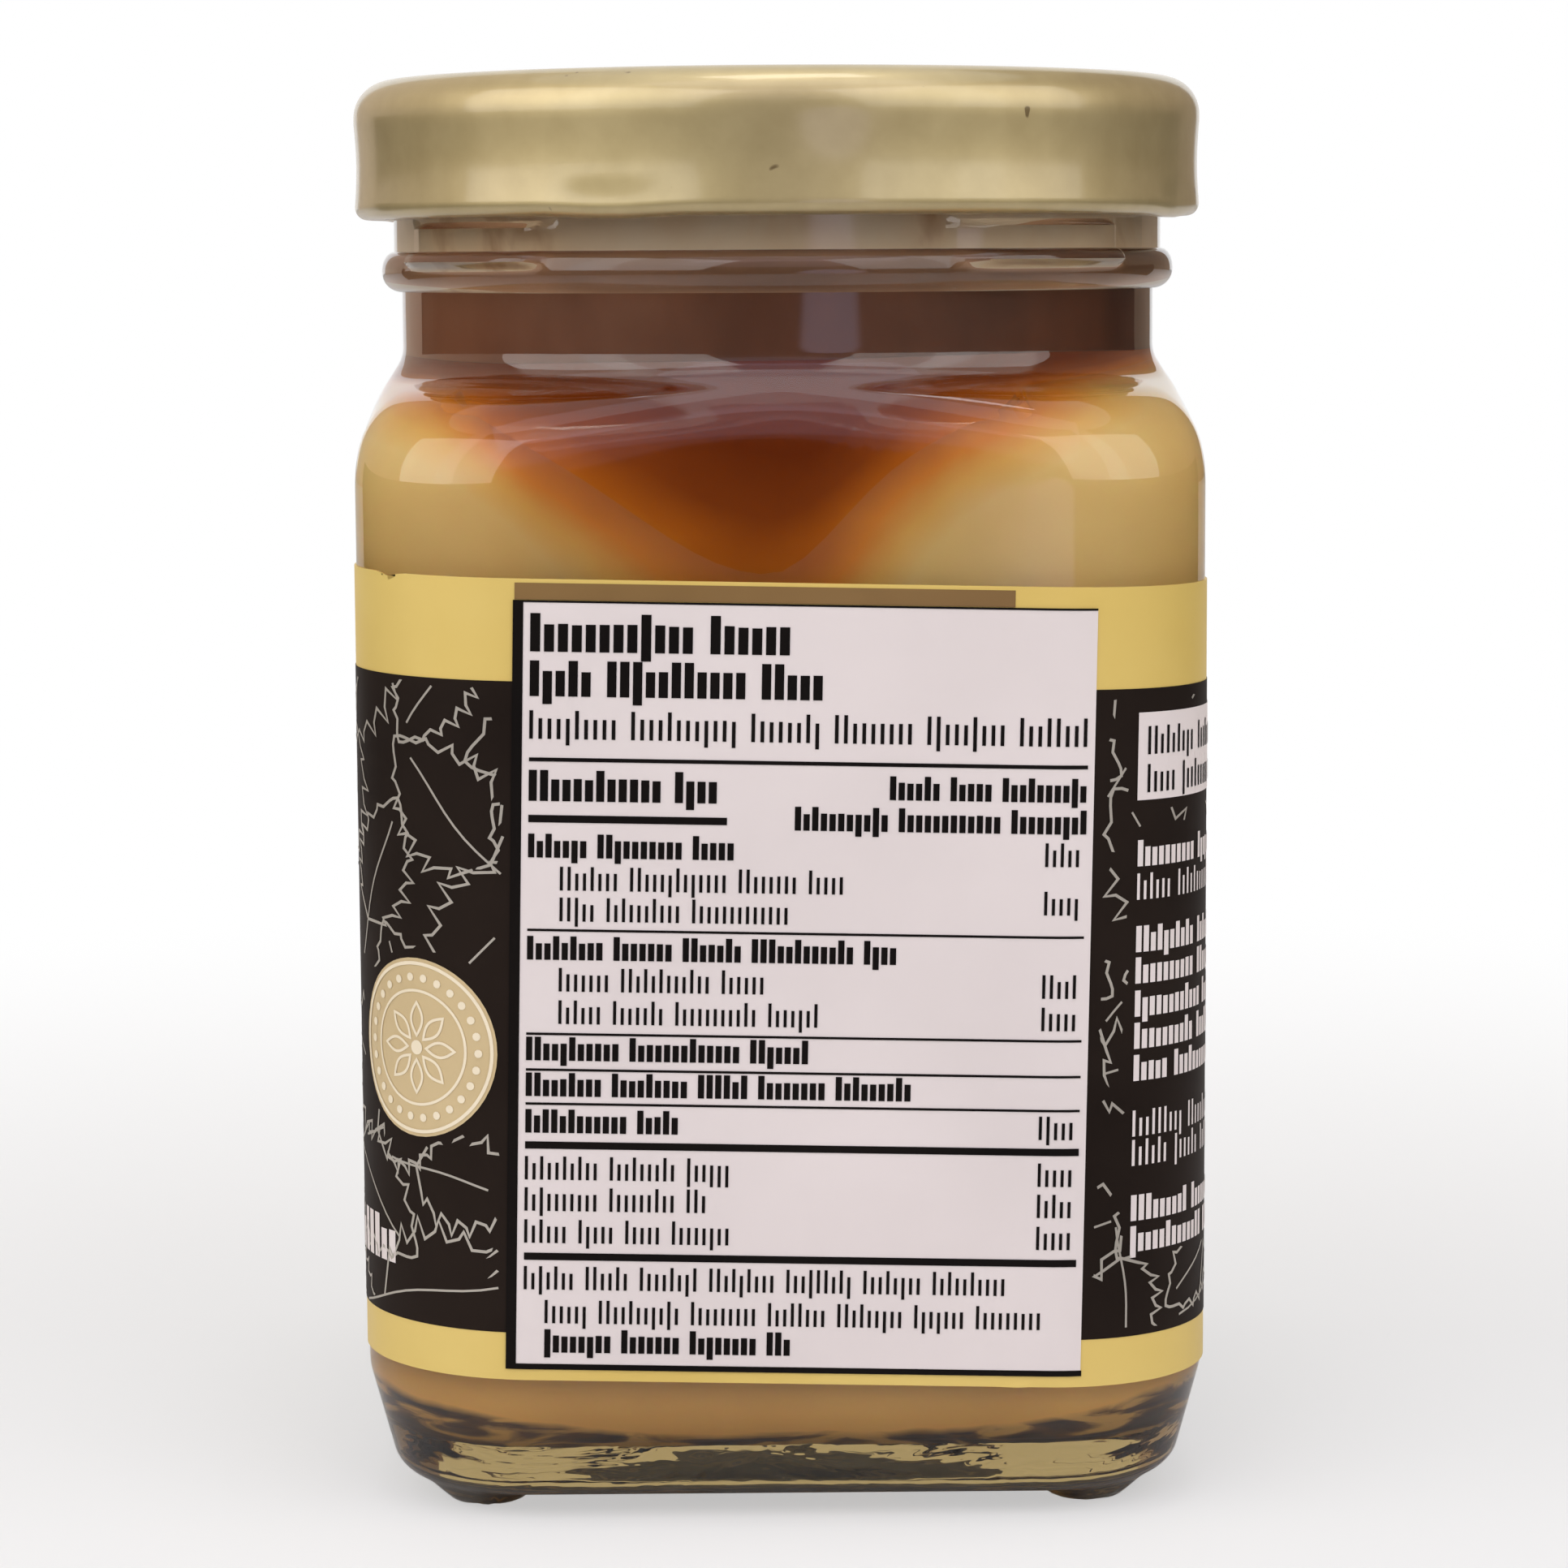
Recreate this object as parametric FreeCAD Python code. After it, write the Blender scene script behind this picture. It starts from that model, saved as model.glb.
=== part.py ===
"""A square glass jar of maple butter with a twist-off metal lid, in millimetres.

Frame: +Z up, the origin on the surface it stands on, below the jar's axis.
The four flat faces of the jar look along +X, -X, +Y and -Y, and -Y is the front.
"""
import FreeCAD, Part
import math
import os

V = FreeCAD.Vector
UP = V(0, 0, 1)

# --- body of the jar: a square with rounded corners -------------------------
BODY_WIDTH = 49.1            # across two opposite flat faces
CORNER_RADIUS = 9.8          # outside, between two flat faces
WALL = 2.0                   # glass of the body, shoulder and neck
BODY_HEIGHT = 51.4           # straight part, from the heel to the shoulder

# --- base: feet, underside and heel -------------------------------------------
FOOT_HEIGHT = 1.2            # underside of the base above the floor
FOOT_RADIUS = 3.4            # where a foot meets the underside
FOOT_CONTACT_RADIUS = 2.0    # flat spot that touches the floor
FOOT_OUTSET = 3.9            # a foot's centre beyond the middle of the corner's round
HEEL_HEIGHT = 6.5            # tapered part below the straight body
HEEL_INSET = 1.75            # how far the heel draws in on each side
HEEL_EDGE_ROUND = 1.4        # round between heel and underside
HEEL_TOP_ROUND = 3.0         # soft corner between heel and body
BASE_GLASS = 3.2             # underside to the floor of the inside
INSIDE_ROUND = 3.5           # round between the inside's floor and its walls
PUSH_UP_RADIUS = 14.0        # shallow hollow in the middle of the underside
PUSH_UP_DEPTH = 0.9

# --- shoulder: from the rounded square to the round neck ----------------------
SHOULDER_HEIGHT = 7.8        # over a corner
SHOULDER_FACE_HEIGHT = 5.4   # over the middle of a face
FACE_ROUND = 7.0             # convex round over the middle of a face
CORNER_ROUND = 6.0           # convex round over a corner
NECK_FLARE_ROUND = 2.0       # concave round into the neck
SHOULDER_SECTIONS = 11

# --- neck, transfer bead and finish ------------------------------------------------
NECK_RADIUS = 22.75
NECK_HEIGHT = 3.3            # shoulder to bead
BEAD_HEIGHT = 2.4
BEAD_DEPTH = 1.2             # how far the bead stands out from the neck
FINISH_STEP = 0.45           # how far the finish stands out from the neck, without the threads
LID_GAP = 1.9                # bead to the lid's lower edge
RIM_ROUND = 0.7
THREAD_DEPTH = 0.9           # how far threads and stops stand out from the finish
THREAD_HEIGHT = 1.4
THREAD_SPAN = 56.0           # degrees round the neck
THREAD_LUG_GAP = 0.2         # thread above lug
STOP_LID_GAP = 0.25          # stop below the lid's lower edge
STOP_SPAN = 29.0             # degrees
STOP_LEAD = 27.0             # degrees from a lug back to the middle of its stop
LUG_COUNT = 4                # threads, stops and lugs of the lid

# --- twist-off lid -------------------------------------------------------------------
LID_SHEET = 0.35             # lacquered steel sheet
LID_HEIGHT = 8.25
LID_CLEARANCE = 1.05         # between the threads and the lid's skirt
LID_TOP_ROUND = 2.2
CURL_RADIUS = 0.75           # rolled edge at the bottom
LUG_RADIUS = 0.65            # roll of the edge where it is pressed in
LUG_REACH = 1.95             # from the skirt's outside to the lug's inner side
LUG_SPAN = 14.0              # degrees
LUG_ANGLE = 248.0            # of the first lug, from +X
PANEL_EDGE_GAP = 0.6         # panel's edge inside the mouth
PANEL_DEPTH = 0.45           # of the sunk panel below the lid's top ring
PANEL_SLOPE = 0.8            # width of the step down to the panel
BUTTON_RADIUS = 9.0
BUTTON_HEIGHT = 0.3

# --- label, wrapped once round the body ---------------------------------------------
LABEL_THICKNESS = 0.12
LABEL_LOW_MARGIN = 0.75       # heel to the label's lower edge, in the middle
LABEL_TOP_MARGIN = 4.95      # label's upper edge to the corner shoulders
LABEL_SKEW = 1.3             # degrees, lower on the +X side
SEAM_OVERLAP = 9.0           # width of the overlap at the back
SEAM_OFFSET = 4.0            # its middle, from the jar's axis

# --- contents ---------------------------------------------------------------------------
BUTTER_BELOW_NECK = 5.6      # middle of the butter's top, below the neck
BUTTER_LEFT_RISE = 3.3       # butter climbs the walls at the sides
BUTTER_RIGHT_RISE = 5.0
FURROW_DEPTH = 6.9           # syrup runs down into a furrow at the front
FURROW_X = -1.0
FURROW_LEFT_WIDTH = 8.5
FURROW_RIGHT_WIDTH = 4.8
FURROW_LENGTH = 15.0         # from the front wall towards the middle
SYRUP_BELOW_NECK = 0.6       # middle of the syrup's top, below the neck
SYRUP_TILT = 0.5             # higher on the +X side by this at the wall
SYRUP_WAVE = 0.2
SURFACE_SPANS = 14           # spans each way in the two wavy surfaces

# --- heights worked out from the sizes above --------------------------------------------
HALF_WIDTH = BODY_WIDTH / 2
UNDERSIDE_Z = FOOT_HEIGHT
INSIDE_FLOOR_Z = UNDERSIDE_Z + BASE_GLASS
BODY_Z = UNDERSIDE_Z + HEEL_HEIGHT
SHOULDER_Z = BODY_Z + BODY_HEIGHT
NECK_Z = SHOULDER_Z + SHOULDER_HEIGHT
BEAD_Z = NECK_Z + NECK_HEIGHT
FINISH_Z = BEAD_Z + BEAD_HEIGHT
LID_BOTTOM_Z = FINISH_Z + LID_GAP
LID_TOP_Z = LID_BOTTOM_Z + LID_HEIGHT
RIM_Z = LID_TOP_Z - LID_SHEET
STOP_HEIGHT = LID_GAP - STOP_LID_GAP
MOUTH_RADIUS = NECK_RADIUS - WALL
FINISH_RADIUS = NECK_RADIUS + FINISH_STEP
THREAD_RADIUS = FINISH_RADIUS + THREAD_DEPTH
LID_RADIUS = THREAD_RADIUS + LID_CLEARANCE + LID_SHEET
ROOT_HALF = math.sqrt(0.5)


def corner_distance(half_width, radius):
    """Distance from the axis to a rounded square's corner."""
    return (half_width - radius) / ROOT_HALF + radius


def section(face, corner, bulge, z):
    """A closed outline between a rounded square and a circle.

    face and corner are its distances from the axis at the middle of a face and
    at a corner. Eight tangent arcs make it, and bulge is the angle that the
    outline has turned by where a face's arc meets a corner's. At 0 the faces
    are straight.
    """
    edges = []
    sine = math.sin(bulge)
    cosine = math.cos(bulge)
    if bulge == 0:
        corner_radius = (face - ROOT_HALF * corner) / (1 - ROOT_HALF)
        joint = V(face, face - corner_radius, z)
    else:
        determinant = -(1 - cosine) * (ROOT_HALF - sine) - (ROOT_HALF - cosine) * sine
        difference = ROOT_HALF * corner - face
        reach = ROOT_HALF * corner
        face_radius = (difference * (ROOT_HALF - sine) - (ROOT_HALF - cosine) * reach) / determinant
        joint = V(face - face_radius * (1 - cosine), face_radius * sine, z)
    start = V(joint.x, -joint.y, z)
    corner_middle = V(corner * ROOT_HALF, corner * ROOT_HALF, z)
    corner_end = V(joint.y, joint.x, z)
    if bulge == 0:
        face_edge = Part.LineSegment(start, joint).toShape()
    else:
        face_edge = Part.Arc(start, V(face, 0, z), joint).toShape()
    corner_edge = Part.Arc(joint, corner_middle, corner_end).toShape()
    for turn in range(4):
        for edge in (face_edge, corner_edge):
            placed = edge.copy()
            placed.rotate(V(0, 0, 0), UP, 90 * turn)
            edges.append(placed)
    return Part.Wire(edges)


def rounded_square(half_width, radius, z):
    return section(half_width, corner_distance(half_width, radius), 0, z)


def rounded_prism(half_width, radius, z_low, z_high):
    face = Part.Face(rounded_square(half_width, radius, z_low))
    return face.extrude(V(0, 0, z_high - z_low))


def flare(height, start, end, convex, concave, z):
    """Radius at height z of a profile that rises from start to end.

    It leaves a vertical line by a convex round, runs straight, and meets the
    next vertical line by a concave round. The rounds shrink where the step is
    too large for them.
    """
    if z <= 0:
        return start
    if z >= height:
        return end
    step = start - end
    size = abs(step)
    sign = 1 if step > 0 else -1
    both = convex + concave
    room = 0.98 * (height ** 2 + size ** 2) / (2 * size)
    shrink = min(1.0, room / both)
    convex = convex * shrink
    concave = concave * shrink
    both = convex + concave
    straight = math.sqrt(height ** 2 + (both - size) ** 2 - both ** 2)
    slope = math.atan2(height, both - size) - math.atan2(straight, both)
    convex_top = convex * math.sin(slope)
    concave_low = height - concave * math.sin(slope)
    if z < convex_top:
        drop = convex - math.sqrt(convex ** 2 - z ** 2)
    elif z > concave_low:
        drop = size - (concave - math.sqrt(concave ** 2 - (height - z) ** 2))
    else:
        drop = convex * (1 - math.cos(slope)) + (z - convex_top) * math.tan(slope)
    return start - sign * drop


def shoulder(inset):
    """Solid inside the shoulder's outline, moved inwards by inset."""
    body_face = HALF_WIDTH - inset
    body_corner = corner_distance(body_face, CORNER_RADIUS - inset)
    neck = NECK_RADIUS - inset
    full_bulge = math.atan2(HALF_WIDTH - CORNER_RADIUS, HALF_WIDTH)
    wait = SHOULDER_HEIGHT - SHOULDER_FACE_HEIGHT
    wires = []
    for index in range(SHOULDER_SECTIONS):
        share = index / (SHOULDER_SECTIONS - 1)
        z = SHOULDER_HEIGHT * share
        face = flare(SHOULDER_FACE_HEIGHT, body_face, neck,
                     FACE_ROUND - inset, NECK_FLARE_ROUND + inset, z - wait)
        corner = flare(SHOULDER_HEIGHT, body_corner, neck,
                       CORNER_ROUND - inset, NECK_FLARE_ROUND + inset, z)
        bulge = full_bulge * (body_corner - corner) / (body_corner - neck)
        wires.append(section(face, corner, bulge, SHOULDER_Z + z))
    return Part.makeLoft(wires, True, False)


def disc(radius, z_low, z_high):
    return Part.makeCylinder(radius, z_high - z_low, V(0, 0, z_low))


def ring_block(r_low, r_high, z_low, z_high, middle, span):
    """Part of a ring round the axis, span degrees long."""
    corners = [V(r_low, 0, z_low), V(r_high, 0, z_low), V(r_high, 0, z_high), V(r_low, 0, z_high)]
    face = Part.Face(Part.makePolygon(corners + corners[:1]))
    block = face.revolve(V(0, 0, 0), UP, span)
    block.rotate(V(0, 0, 0), UP, middle - span / 2)
    return block


def level_edges(shape, z):
    """Edges of a shape that lie flat at height z."""
    found = []
    for edge in shape.Edges:
        box = edge.BoundBox
        if abs(box.ZMin - z) < 1e-4 and abs(box.ZMax - z) < 1e-4:
            found.append(edge)
    return found


def lug_angles():
    return [LUG_ANGLE + 360 / LUG_COUNT * index for index in range(LUG_COUNT)]


def base_and_body():
    low = rounded_square(HALF_WIDTH - HEEL_INSET, CORNER_RADIUS - HEEL_INSET, UNDERSIDE_Z)
    high = rounded_square(HALF_WIDTH, CORNER_RADIUS, BODY_Z)
    heel = Part.makeLoft([low, high], True, True)
    body = rounded_prism(HALF_WIDTH, CORNER_RADIUS, BODY_Z, SHOULDER_Z)
    outer = heel.fuse(body)
    outer = outer.makeFillet(HEEL_TOP_ROUND, level_edges(outer, BODY_Z))
    outer = outer.makeFillet(HEEL_EDGE_ROUND, level_edges(outer, UNDERSIDE_Z))
    dome_radius = (PUSH_UP_RADIUS ** 2 + PUSH_UP_DEPTH ** 2) / (2 * PUSH_UP_DEPTH)
    dome = Part.makeSphere(dome_radius, V(0, 0, UNDERSIDE_Z + PUSH_UP_DEPTH - dome_radius))
    outer = outer.cut(dome)
    return outer.fuse(feet())


def feet():
    """Four low round feet under the corners, sunk a little into the base."""
    reach = HALF_WIDTH - CORNER_RADIUS + FOOT_OUTSET * ROOT_HALF
    pads = []
    for side_x in (-1, 1):
        for side_y in (-1, 1):
            centre = V(side_x * reach, side_y * reach, 0)
            pad = Part.makeCone(FOOT_CONTACT_RADIUS, FOOT_RADIUS, FOOT_HEIGHT, centre)
            root = Part.makeCylinder(FOOT_RADIUS, BASE_GLASS / 4, centre + UP * FOOT_HEIGHT)
            pads.append(pad.fuse(root))
    return pads


def neck_and_finish():
    """Everything outside above the shoulder: neck, bead, finish and its rim."""
    middle_z = BEAD_Z + BEAD_HEIGHT / 2
    bead_edge = NECK_RADIUS + BEAD_DEPTH
    rim_low = RIM_Z - RIM_ROUND
    cut = RIM_ROUND * ROOT_HALF
    rim_mid = V(FINISH_RADIUS - RIM_ROUND + cut, 0, rim_low + cut)
    edges = [
        Part.LineSegment(V(0, 0, NECK_Z), V(NECK_RADIUS, 0, NECK_Z)),
        Part.LineSegment(V(NECK_RADIUS, 0, NECK_Z), V(NECK_RADIUS, 0, BEAD_Z)),
        Part.Arc(V(NECK_RADIUS, 0, BEAD_Z), V(bead_edge, 0, middle_z), V(FINISH_RADIUS, 0, FINISH_Z)),
        Part.LineSegment(V(FINISH_RADIUS, 0, FINISH_Z), V(FINISH_RADIUS, 0, rim_low)),
        Part.Arc(V(FINISH_RADIUS, 0, rim_low), rim_mid, V(FINISH_RADIUS - RIM_ROUND, 0, RIM_Z)),
        Part.LineSegment(V(FINISH_RADIUS - RIM_ROUND, 0, RIM_Z), V(0, 0, RIM_Z)),
        Part.LineSegment(V(0, 0, RIM_Z), V(0, 0, NECK_Z)),
    ]
    outline = Part.Wire([edge.toShape() for edge in edges])
    solid = Part.Face(outline).revolve(V(0, 0, 0), UP, 360)
    root = FINISH_RADIUS - THREAD_DEPTH / 2
    thread_z = LID_BOTTOM_Z + 2 * LUG_RADIUS + THREAD_LUG_GAP
    blocks = []
    for angle in lug_angles():
        blocks.append(ring_block(root, THREAD_RADIUS, thread_z, thread_z + THREAD_HEIGHT,
                                 angle, THREAD_SPAN))
        blocks.append(ring_block(root, THREAD_RADIUS, FINISH_Z, FINISH_Z + STOP_HEIGHT,
                                 angle - STOP_LEAD, STOP_SPAN))
    return solid.fuse(blocks)


def inside():
    """The whole hollow of the jar, from its floor to the mouth."""
    half_width = HALF_WIDTH - WALL
    radius = CORNER_RADIUS - WALL
    body = rounded_prism(half_width, radius, INSIDE_FLOOR_Z, SHOULDER_Z)
    body = body.makeFillet(INSIDE_ROUND, level_edges(body, INSIDE_FLOOR_Z))
    return body.fuse([shoulder(WALL), disc(MOUTH_RADIUS, NECK_Z, RIM_Z)])


def lid():
    """A pressed cap: top ring, sunk panel with a button, skirt, curl and lugs."""
    panel_edge = MOUTH_RADIUS - PANEL_EDGE_GAP
    shoulder_r = LID_RADIUS - LID_TOP_ROUND
    shoulder_z = LID_TOP_Z - LID_TOP_ROUND
    panel_z = LID_TOP_Z - PANEL_DEPTH
    skirt_z = LID_BOTTOM_Z + CURL_RADIUS
    top_steps = [
        (0, panel_z + BUTTON_HEIGHT),
        (BUTTON_RADIUS - PANEL_SLOPE, panel_z + BUTTON_HEIGHT),
        (BUTTON_RADIUS, panel_z),
        (panel_edge - PANEL_SLOPE, panel_z),
        (panel_edge, LID_TOP_Z),
        (shoulder_r, LID_TOP_Z),
    ]
    edges = []
    for drop in (0, LID_SHEET):
        points = [V(r, 0, z - drop) for r, z in top_steps]
        for first, second in zip(points, points[1:]):
            edges.append(Part.LineSegment(first, second).toShape())
        round_r = LID_TOP_ROUND - drop
        arc_mid = V(shoulder_r + round_r * ROOT_HALF, 0, shoulder_z + round_r * ROOT_HALF)
        arc_end = V(LID_RADIUS - drop, 0, shoulder_z)
        edges.append(Part.Arc(points[-1], arc_mid, arc_end).toShape())
        edges.append(Part.LineSegment(arc_end, V(LID_RADIUS - drop, 0, skirt_z)).toShape())
    top = top_steps[0][1]
    edges.append(Part.LineSegment(V(0, 0, top), V(0, 0, top - LID_SHEET)).toShape())
    edges.append(Part.LineSegment(V(LID_RADIUS, 0, skirt_z), V(LID_RADIUS - LID_SHEET, 0, skirt_z)).toShape())
    outline = Part.Wire(Part.sortEdges(edges)[0])
    cap = Part.Face(outline).revolve(V(0, 0, 0), UP, 360)
    curl = Part.makeTorus(LID_RADIUS - CURL_RADIUS, CURL_RADIUS, V(0, 0, skirt_z))
    pieces = [curl]
    for angle in lug_angles():
        roll = Part.Circle(V(LID_RADIUS - LUG_REACH + LUG_RADIUS, 0, LID_BOTTOM_Z + LUG_RADIUS),
                           V(0, 1, 0), LUG_RADIUS)
        lug = Part.Face(Part.Wire(roll.toShape())).revolve(V(0, 0, 0), UP, LUG_SPAN)
        lug.rotate(V(0, 0, 0), UP, angle - LUG_SPAN / 2)
        pieces.append(lug)
    return cap.fuse(pieces)


def label():
    """A paper band round the body, a little skew, with its overlap at the back."""
    low_z = BODY_Z + LABEL_LOW_MARGIN
    height = BODY_HEIGHT - LABEL_LOW_MARGIN - LABEL_TOP_MARGIN
    outer = rounded_prism(HALF_WIDTH + LABEL_THICKNESS, CORNER_RADIUS + LABEL_THICKNESS,
                          BODY_Z - HEEL_HEIGHT, SHOULDER_Z + HEEL_HEIGHT)
    inner = rounded_prism(HALF_WIDTH, CORNER_RADIUS, BODY_Z - HEEL_HEIGHT, SHOULDER_Z + HEEL_HEIGHT)
    overlap = Part.makeBox(SEAM_OVERLAP, 2 * LABEL_THICKNESS, 2 * BODY_HEIGHT,
                           V(SEAM_OFFSET - SEAM_OVERLAP / 2, HALF_WIDTH, BODY_Z - BODY_HEIGHT / 2))
    band = outer.cut(inner).fuse(overlap)
    window = Part.makeBox(2 * BODY_WIDTH, 2 * BODY_WIDTH, height, V(-BODY_WIDTH, -BODY_WIDTH, low_z))
    window.rotate(V(0, 0, low_z + height / 2), V(0, 1, 0), LABEL_SKEW)
    return band.common(window)


def above(height_at):
    """Everything above a wavy surface, over the whole inside."""
    reach = HALF_WIDTH + WALL
    grid = []
    for row in range(SURFACE_SPANS + 1):
        y = reach * (2 * row / SURFACE_SPANS - 1)
        line = []
        for column in range(SURFACE_SPANS + 1):
            x = reach * (2 * column / SURFACE_SPANS - 1)
            line.append(V(x, y, height_at(x, y)))
        grid.append(line)
    surface = Part.BSplineSurface()
    surface.interpolate(grid)
    return surface.toShape().extrude(V(0, 0, 2 * RIM_Z - NECK_Z))


def butter_top(x, y):
    """Height of the butter: higher at both sides, with a furrow at the front."""
    side = x / HALF_WIDTH
    rise = BUTTER_LEFT_RISE if x < 0 else BUTTER_RIGHT_RISE
    across = (x - FURROW_X) / (FURROW_LEFT_WIDTH if x < FURROW_X else FURROW_RIGHT_WIDTH)
    along = (y + HALF_WIDTH) / FURROW_LENGTH
    furrow = FURROW_DEPTH * math.exp(-across ** 2 - along ** 2)
    return NECK_Z - BUTTER_BELOW_NECK + rise * abs(side) ** 1.5 - furrow


def syrup_top(x, y):
    """Height of the syrup: nearly level, with low waves."""
    side = x / HALF_WIDTH
    wave = SYRUP_WAVE * math.sin(3 * side + 1) * math.cos(2 * y / HALF_WIDTH)
    return NECK_Z - SYRUP_BELOW_NECK + SYRUP_TILT * side + wave


hollow = inside()
outside = base_and_body().fuse([shoulder(0), neck_and_finish()])
over_butter = above(butter_top)
nodes = {
    "glass_jar": outside.cut(hollow),
    "lid": lid(),
    "label": label(),
    "maple_butter": hollow.cut(over_butter),
    "maple_syrup": hollow.common(over_butter).cut(above(syrup_top)),
}
os.makedirs("parts", exist_ok=True)
for name, shape in nodes.items():
    solids = shape.Solids
    print(name, "solids", len(solids), "valid", shape.isValid(), "volume", round(shape.Volume, 1),
          "box", [round(value, 3) for value in (shape.BoundBox.XMin, shape.BoundBox.YMin,
                                                shape.BoundBox.ZMin, shape.BoundBox.XMax,
                                                shape.BoundBox.YMax, shape.BoundBox.ZMax)])
    solids[0].exportStep("parts/" + name + ".step")
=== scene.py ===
"""Looks of a square glass jar of maple butter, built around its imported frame.

Sizes are in millimetres and become metres where a mesh is made. The jar's axis
is +Z, and its front looks along -Y.
"""
import math
import random
import bpy
from mathutils import Matrix, Vector


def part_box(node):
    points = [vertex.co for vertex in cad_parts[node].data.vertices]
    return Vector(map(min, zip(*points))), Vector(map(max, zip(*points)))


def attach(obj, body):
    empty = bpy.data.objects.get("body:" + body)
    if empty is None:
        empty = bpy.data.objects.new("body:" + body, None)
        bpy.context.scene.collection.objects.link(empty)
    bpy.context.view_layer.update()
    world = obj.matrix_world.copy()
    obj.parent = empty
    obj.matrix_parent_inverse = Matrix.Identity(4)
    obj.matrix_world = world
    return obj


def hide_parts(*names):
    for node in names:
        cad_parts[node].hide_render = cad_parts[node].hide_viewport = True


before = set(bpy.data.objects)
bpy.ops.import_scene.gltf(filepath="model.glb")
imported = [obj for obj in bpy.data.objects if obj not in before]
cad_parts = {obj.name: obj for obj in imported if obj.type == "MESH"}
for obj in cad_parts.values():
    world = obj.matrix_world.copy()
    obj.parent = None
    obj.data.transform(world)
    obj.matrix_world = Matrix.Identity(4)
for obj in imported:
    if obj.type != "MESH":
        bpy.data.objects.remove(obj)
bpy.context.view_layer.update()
MM = 0.001

# --- sizes read from the frame ---
glass_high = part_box("glass_jar")[1]
lid_low, lid_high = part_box("lid")
label_low, label_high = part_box("label")
HALF_WIDTH = glass_high[0] / MM
RIM_Z = glass_high[2] / MM
LID_RADIUS = lid_high[0] / MM
LID_TOP_Z = lid_high[2] / MM
LID_BOTTOM_Z = lid_low[2] / MM
LABEL_THICKNESS = -label_low[1] / MM - HALF_WIDTH
LABEL_MIDDLE_Z = (label_low[2] + label_high[2]) / 2 / MM

# --- glass jar ---
CORNER_RADIUS = 9.8
WALL = 2.0
FOOT_HEIGHT = 1.2
FOOT_RADIUS = 3.4
FOOT_CONTACT_RADIUS = 2.0
FOOT_OUTSET = 3.9
HEEL_HEIGHT = 6.5
HEEL_INSET = 1.75
HEEL_EDGE_ROUND = 1.4
HEEL_TOP_BLEND = 0.5
BASE_GLASS = 3.2
INSIDE_ROUND = 3.5
PUSH_UP_RADIUS = 14.0
PUSH_UP_DEPTH = 0.9
BODY_HEIGHT = 51.4
SHOULDER_HEIGHT = 7.8
SHOULDER_FACE_HEIGHT = 5.4
FACE_ROUND = 7.0
CORNER_ROUND = 6.0
NECK_FLARE_ROUND = 2.0
NECK_RADIUS = 22.75
NECK_HEIGHT = 3.3
BEAD_HEIGHT = 2.4
BEAD_DEPTH = 1.2
FINISH_STEP = 0.45
RIM_ROUND = 0.7
THREAD_DEPTH = 0.9
THREAD_HEIGHT = 1.4
THREAD_SPAN = 56.0
THREAD_LUG_GAP = 0.2
STOP_HEIGHT = 1.65
STOP_SPAN = 29.0
STOP_LEAD = 27.0
LUG_COUNT = 4
LUG_ANGLE = 248.0
LUG_SPAN = 14.0
LUG_RADIUS = 0.65

# --- lid ---
LID_SHEET = 0.35
LID_TOP_ROUND = 2.2
CURL_RADIUS = 0.75
SKIRT_WAIST = 0.12
LUG_PRESS = 0.08
PANEL_EDGE_GAP = 0.6
PANEL_DEPTH = 0.45
PANEL_SLOPE = 0.8
BUTTON_RADIUS = 9.0
BUTTON_HEIGHT = 0.3
DULL_RADIUS = 20.2
DULL_DEPTH = 1.5
LID_AROUND = 288

# --- label ---
LABEL_HEIGHT = 45.7
LABEL_SLOPE = math.tan(math.radians(1.3))
SEAM_OVERLAP = 9.0
SEAM_OFFSET = 4.0
INK_STEP = 0.03
FIELD_TOP = 17.1
FIELD_BOTTOM = -20.1
PANEL_LEFT = -14.93
PANEL_RIGHT = 17.2
PANEL_TOP = 21.55
PANEL_BOTTOM = -21.87
PANEL_LINE = 1.35
BOX_LEFT = 20.0
BOX_RIGHT = 46.0
BOX_BOTTOM = 10.77
BOX_TOP = 15.74
SEAL_U = -21.3
SEAL_V = -4.1
SEAL_RADIUS = 5.15
PLAQUE_V = -1.5
PLAQUE_HALF_WIDTH = 12.6
LEAF_ATTEMPTS = 7000
LEAF_SPACING = 0.34
LEAF_TEETH = 7

# --- contents ---
REACH_INTO_WALL = 0.2
BUTTER_BELOW_NECK = 5.6
BUTTER_LEFT_RISE = 3.3
BUTTER_RIGHT_RISE = 5.0
FURROW_DEPTH = 6.9
FURROW_X = -1.0
FURROW_LEFT_WIDTH = 10.0
FURROW_RIGHT_WIDTH = 6.0
FURROW_LENGTH = 15.0
SYRUP_BELOW_NECK = 0.6
SYRUP_TILT = 0.5
SYRUP_WAVE = 0.3
FILM_THICKNESS = 0.12
FILM_RINGS = 24

# --- heights worked out ---
UNDERSIDE_Z = FOOT_HEIGHT
FLOOR_Z = UNDERSIDE_Z + BASE_GLASS
BODY_Z = UNDERSIDE_Z + HEEL_HEIGHT
SHOULDER_Z = BODY_Z + BODY_HEIGHT
NECK_Z = SHOULDER_Z + SHOULDER_HEIGHT
BEAD_Z = NECK_Z + NECK_HEIGHT
FINISH_Z = BEAD_Z + BEAD_HEIGHT
FINISH_RADIUS = NECK_RADIUS + FINISH_STEP
MOUTH_RADIUS = NECK_RADIUS - WALL
ROOT_HALF = math.sqrt(0.5)
ARC_STEPS = 24
AROUND = 8 * ARC_STEPS
FULL_BULGE = math.atan2(HALF_WIDTH - CORNER_RADIUS, HALF_WIDTH)

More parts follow.
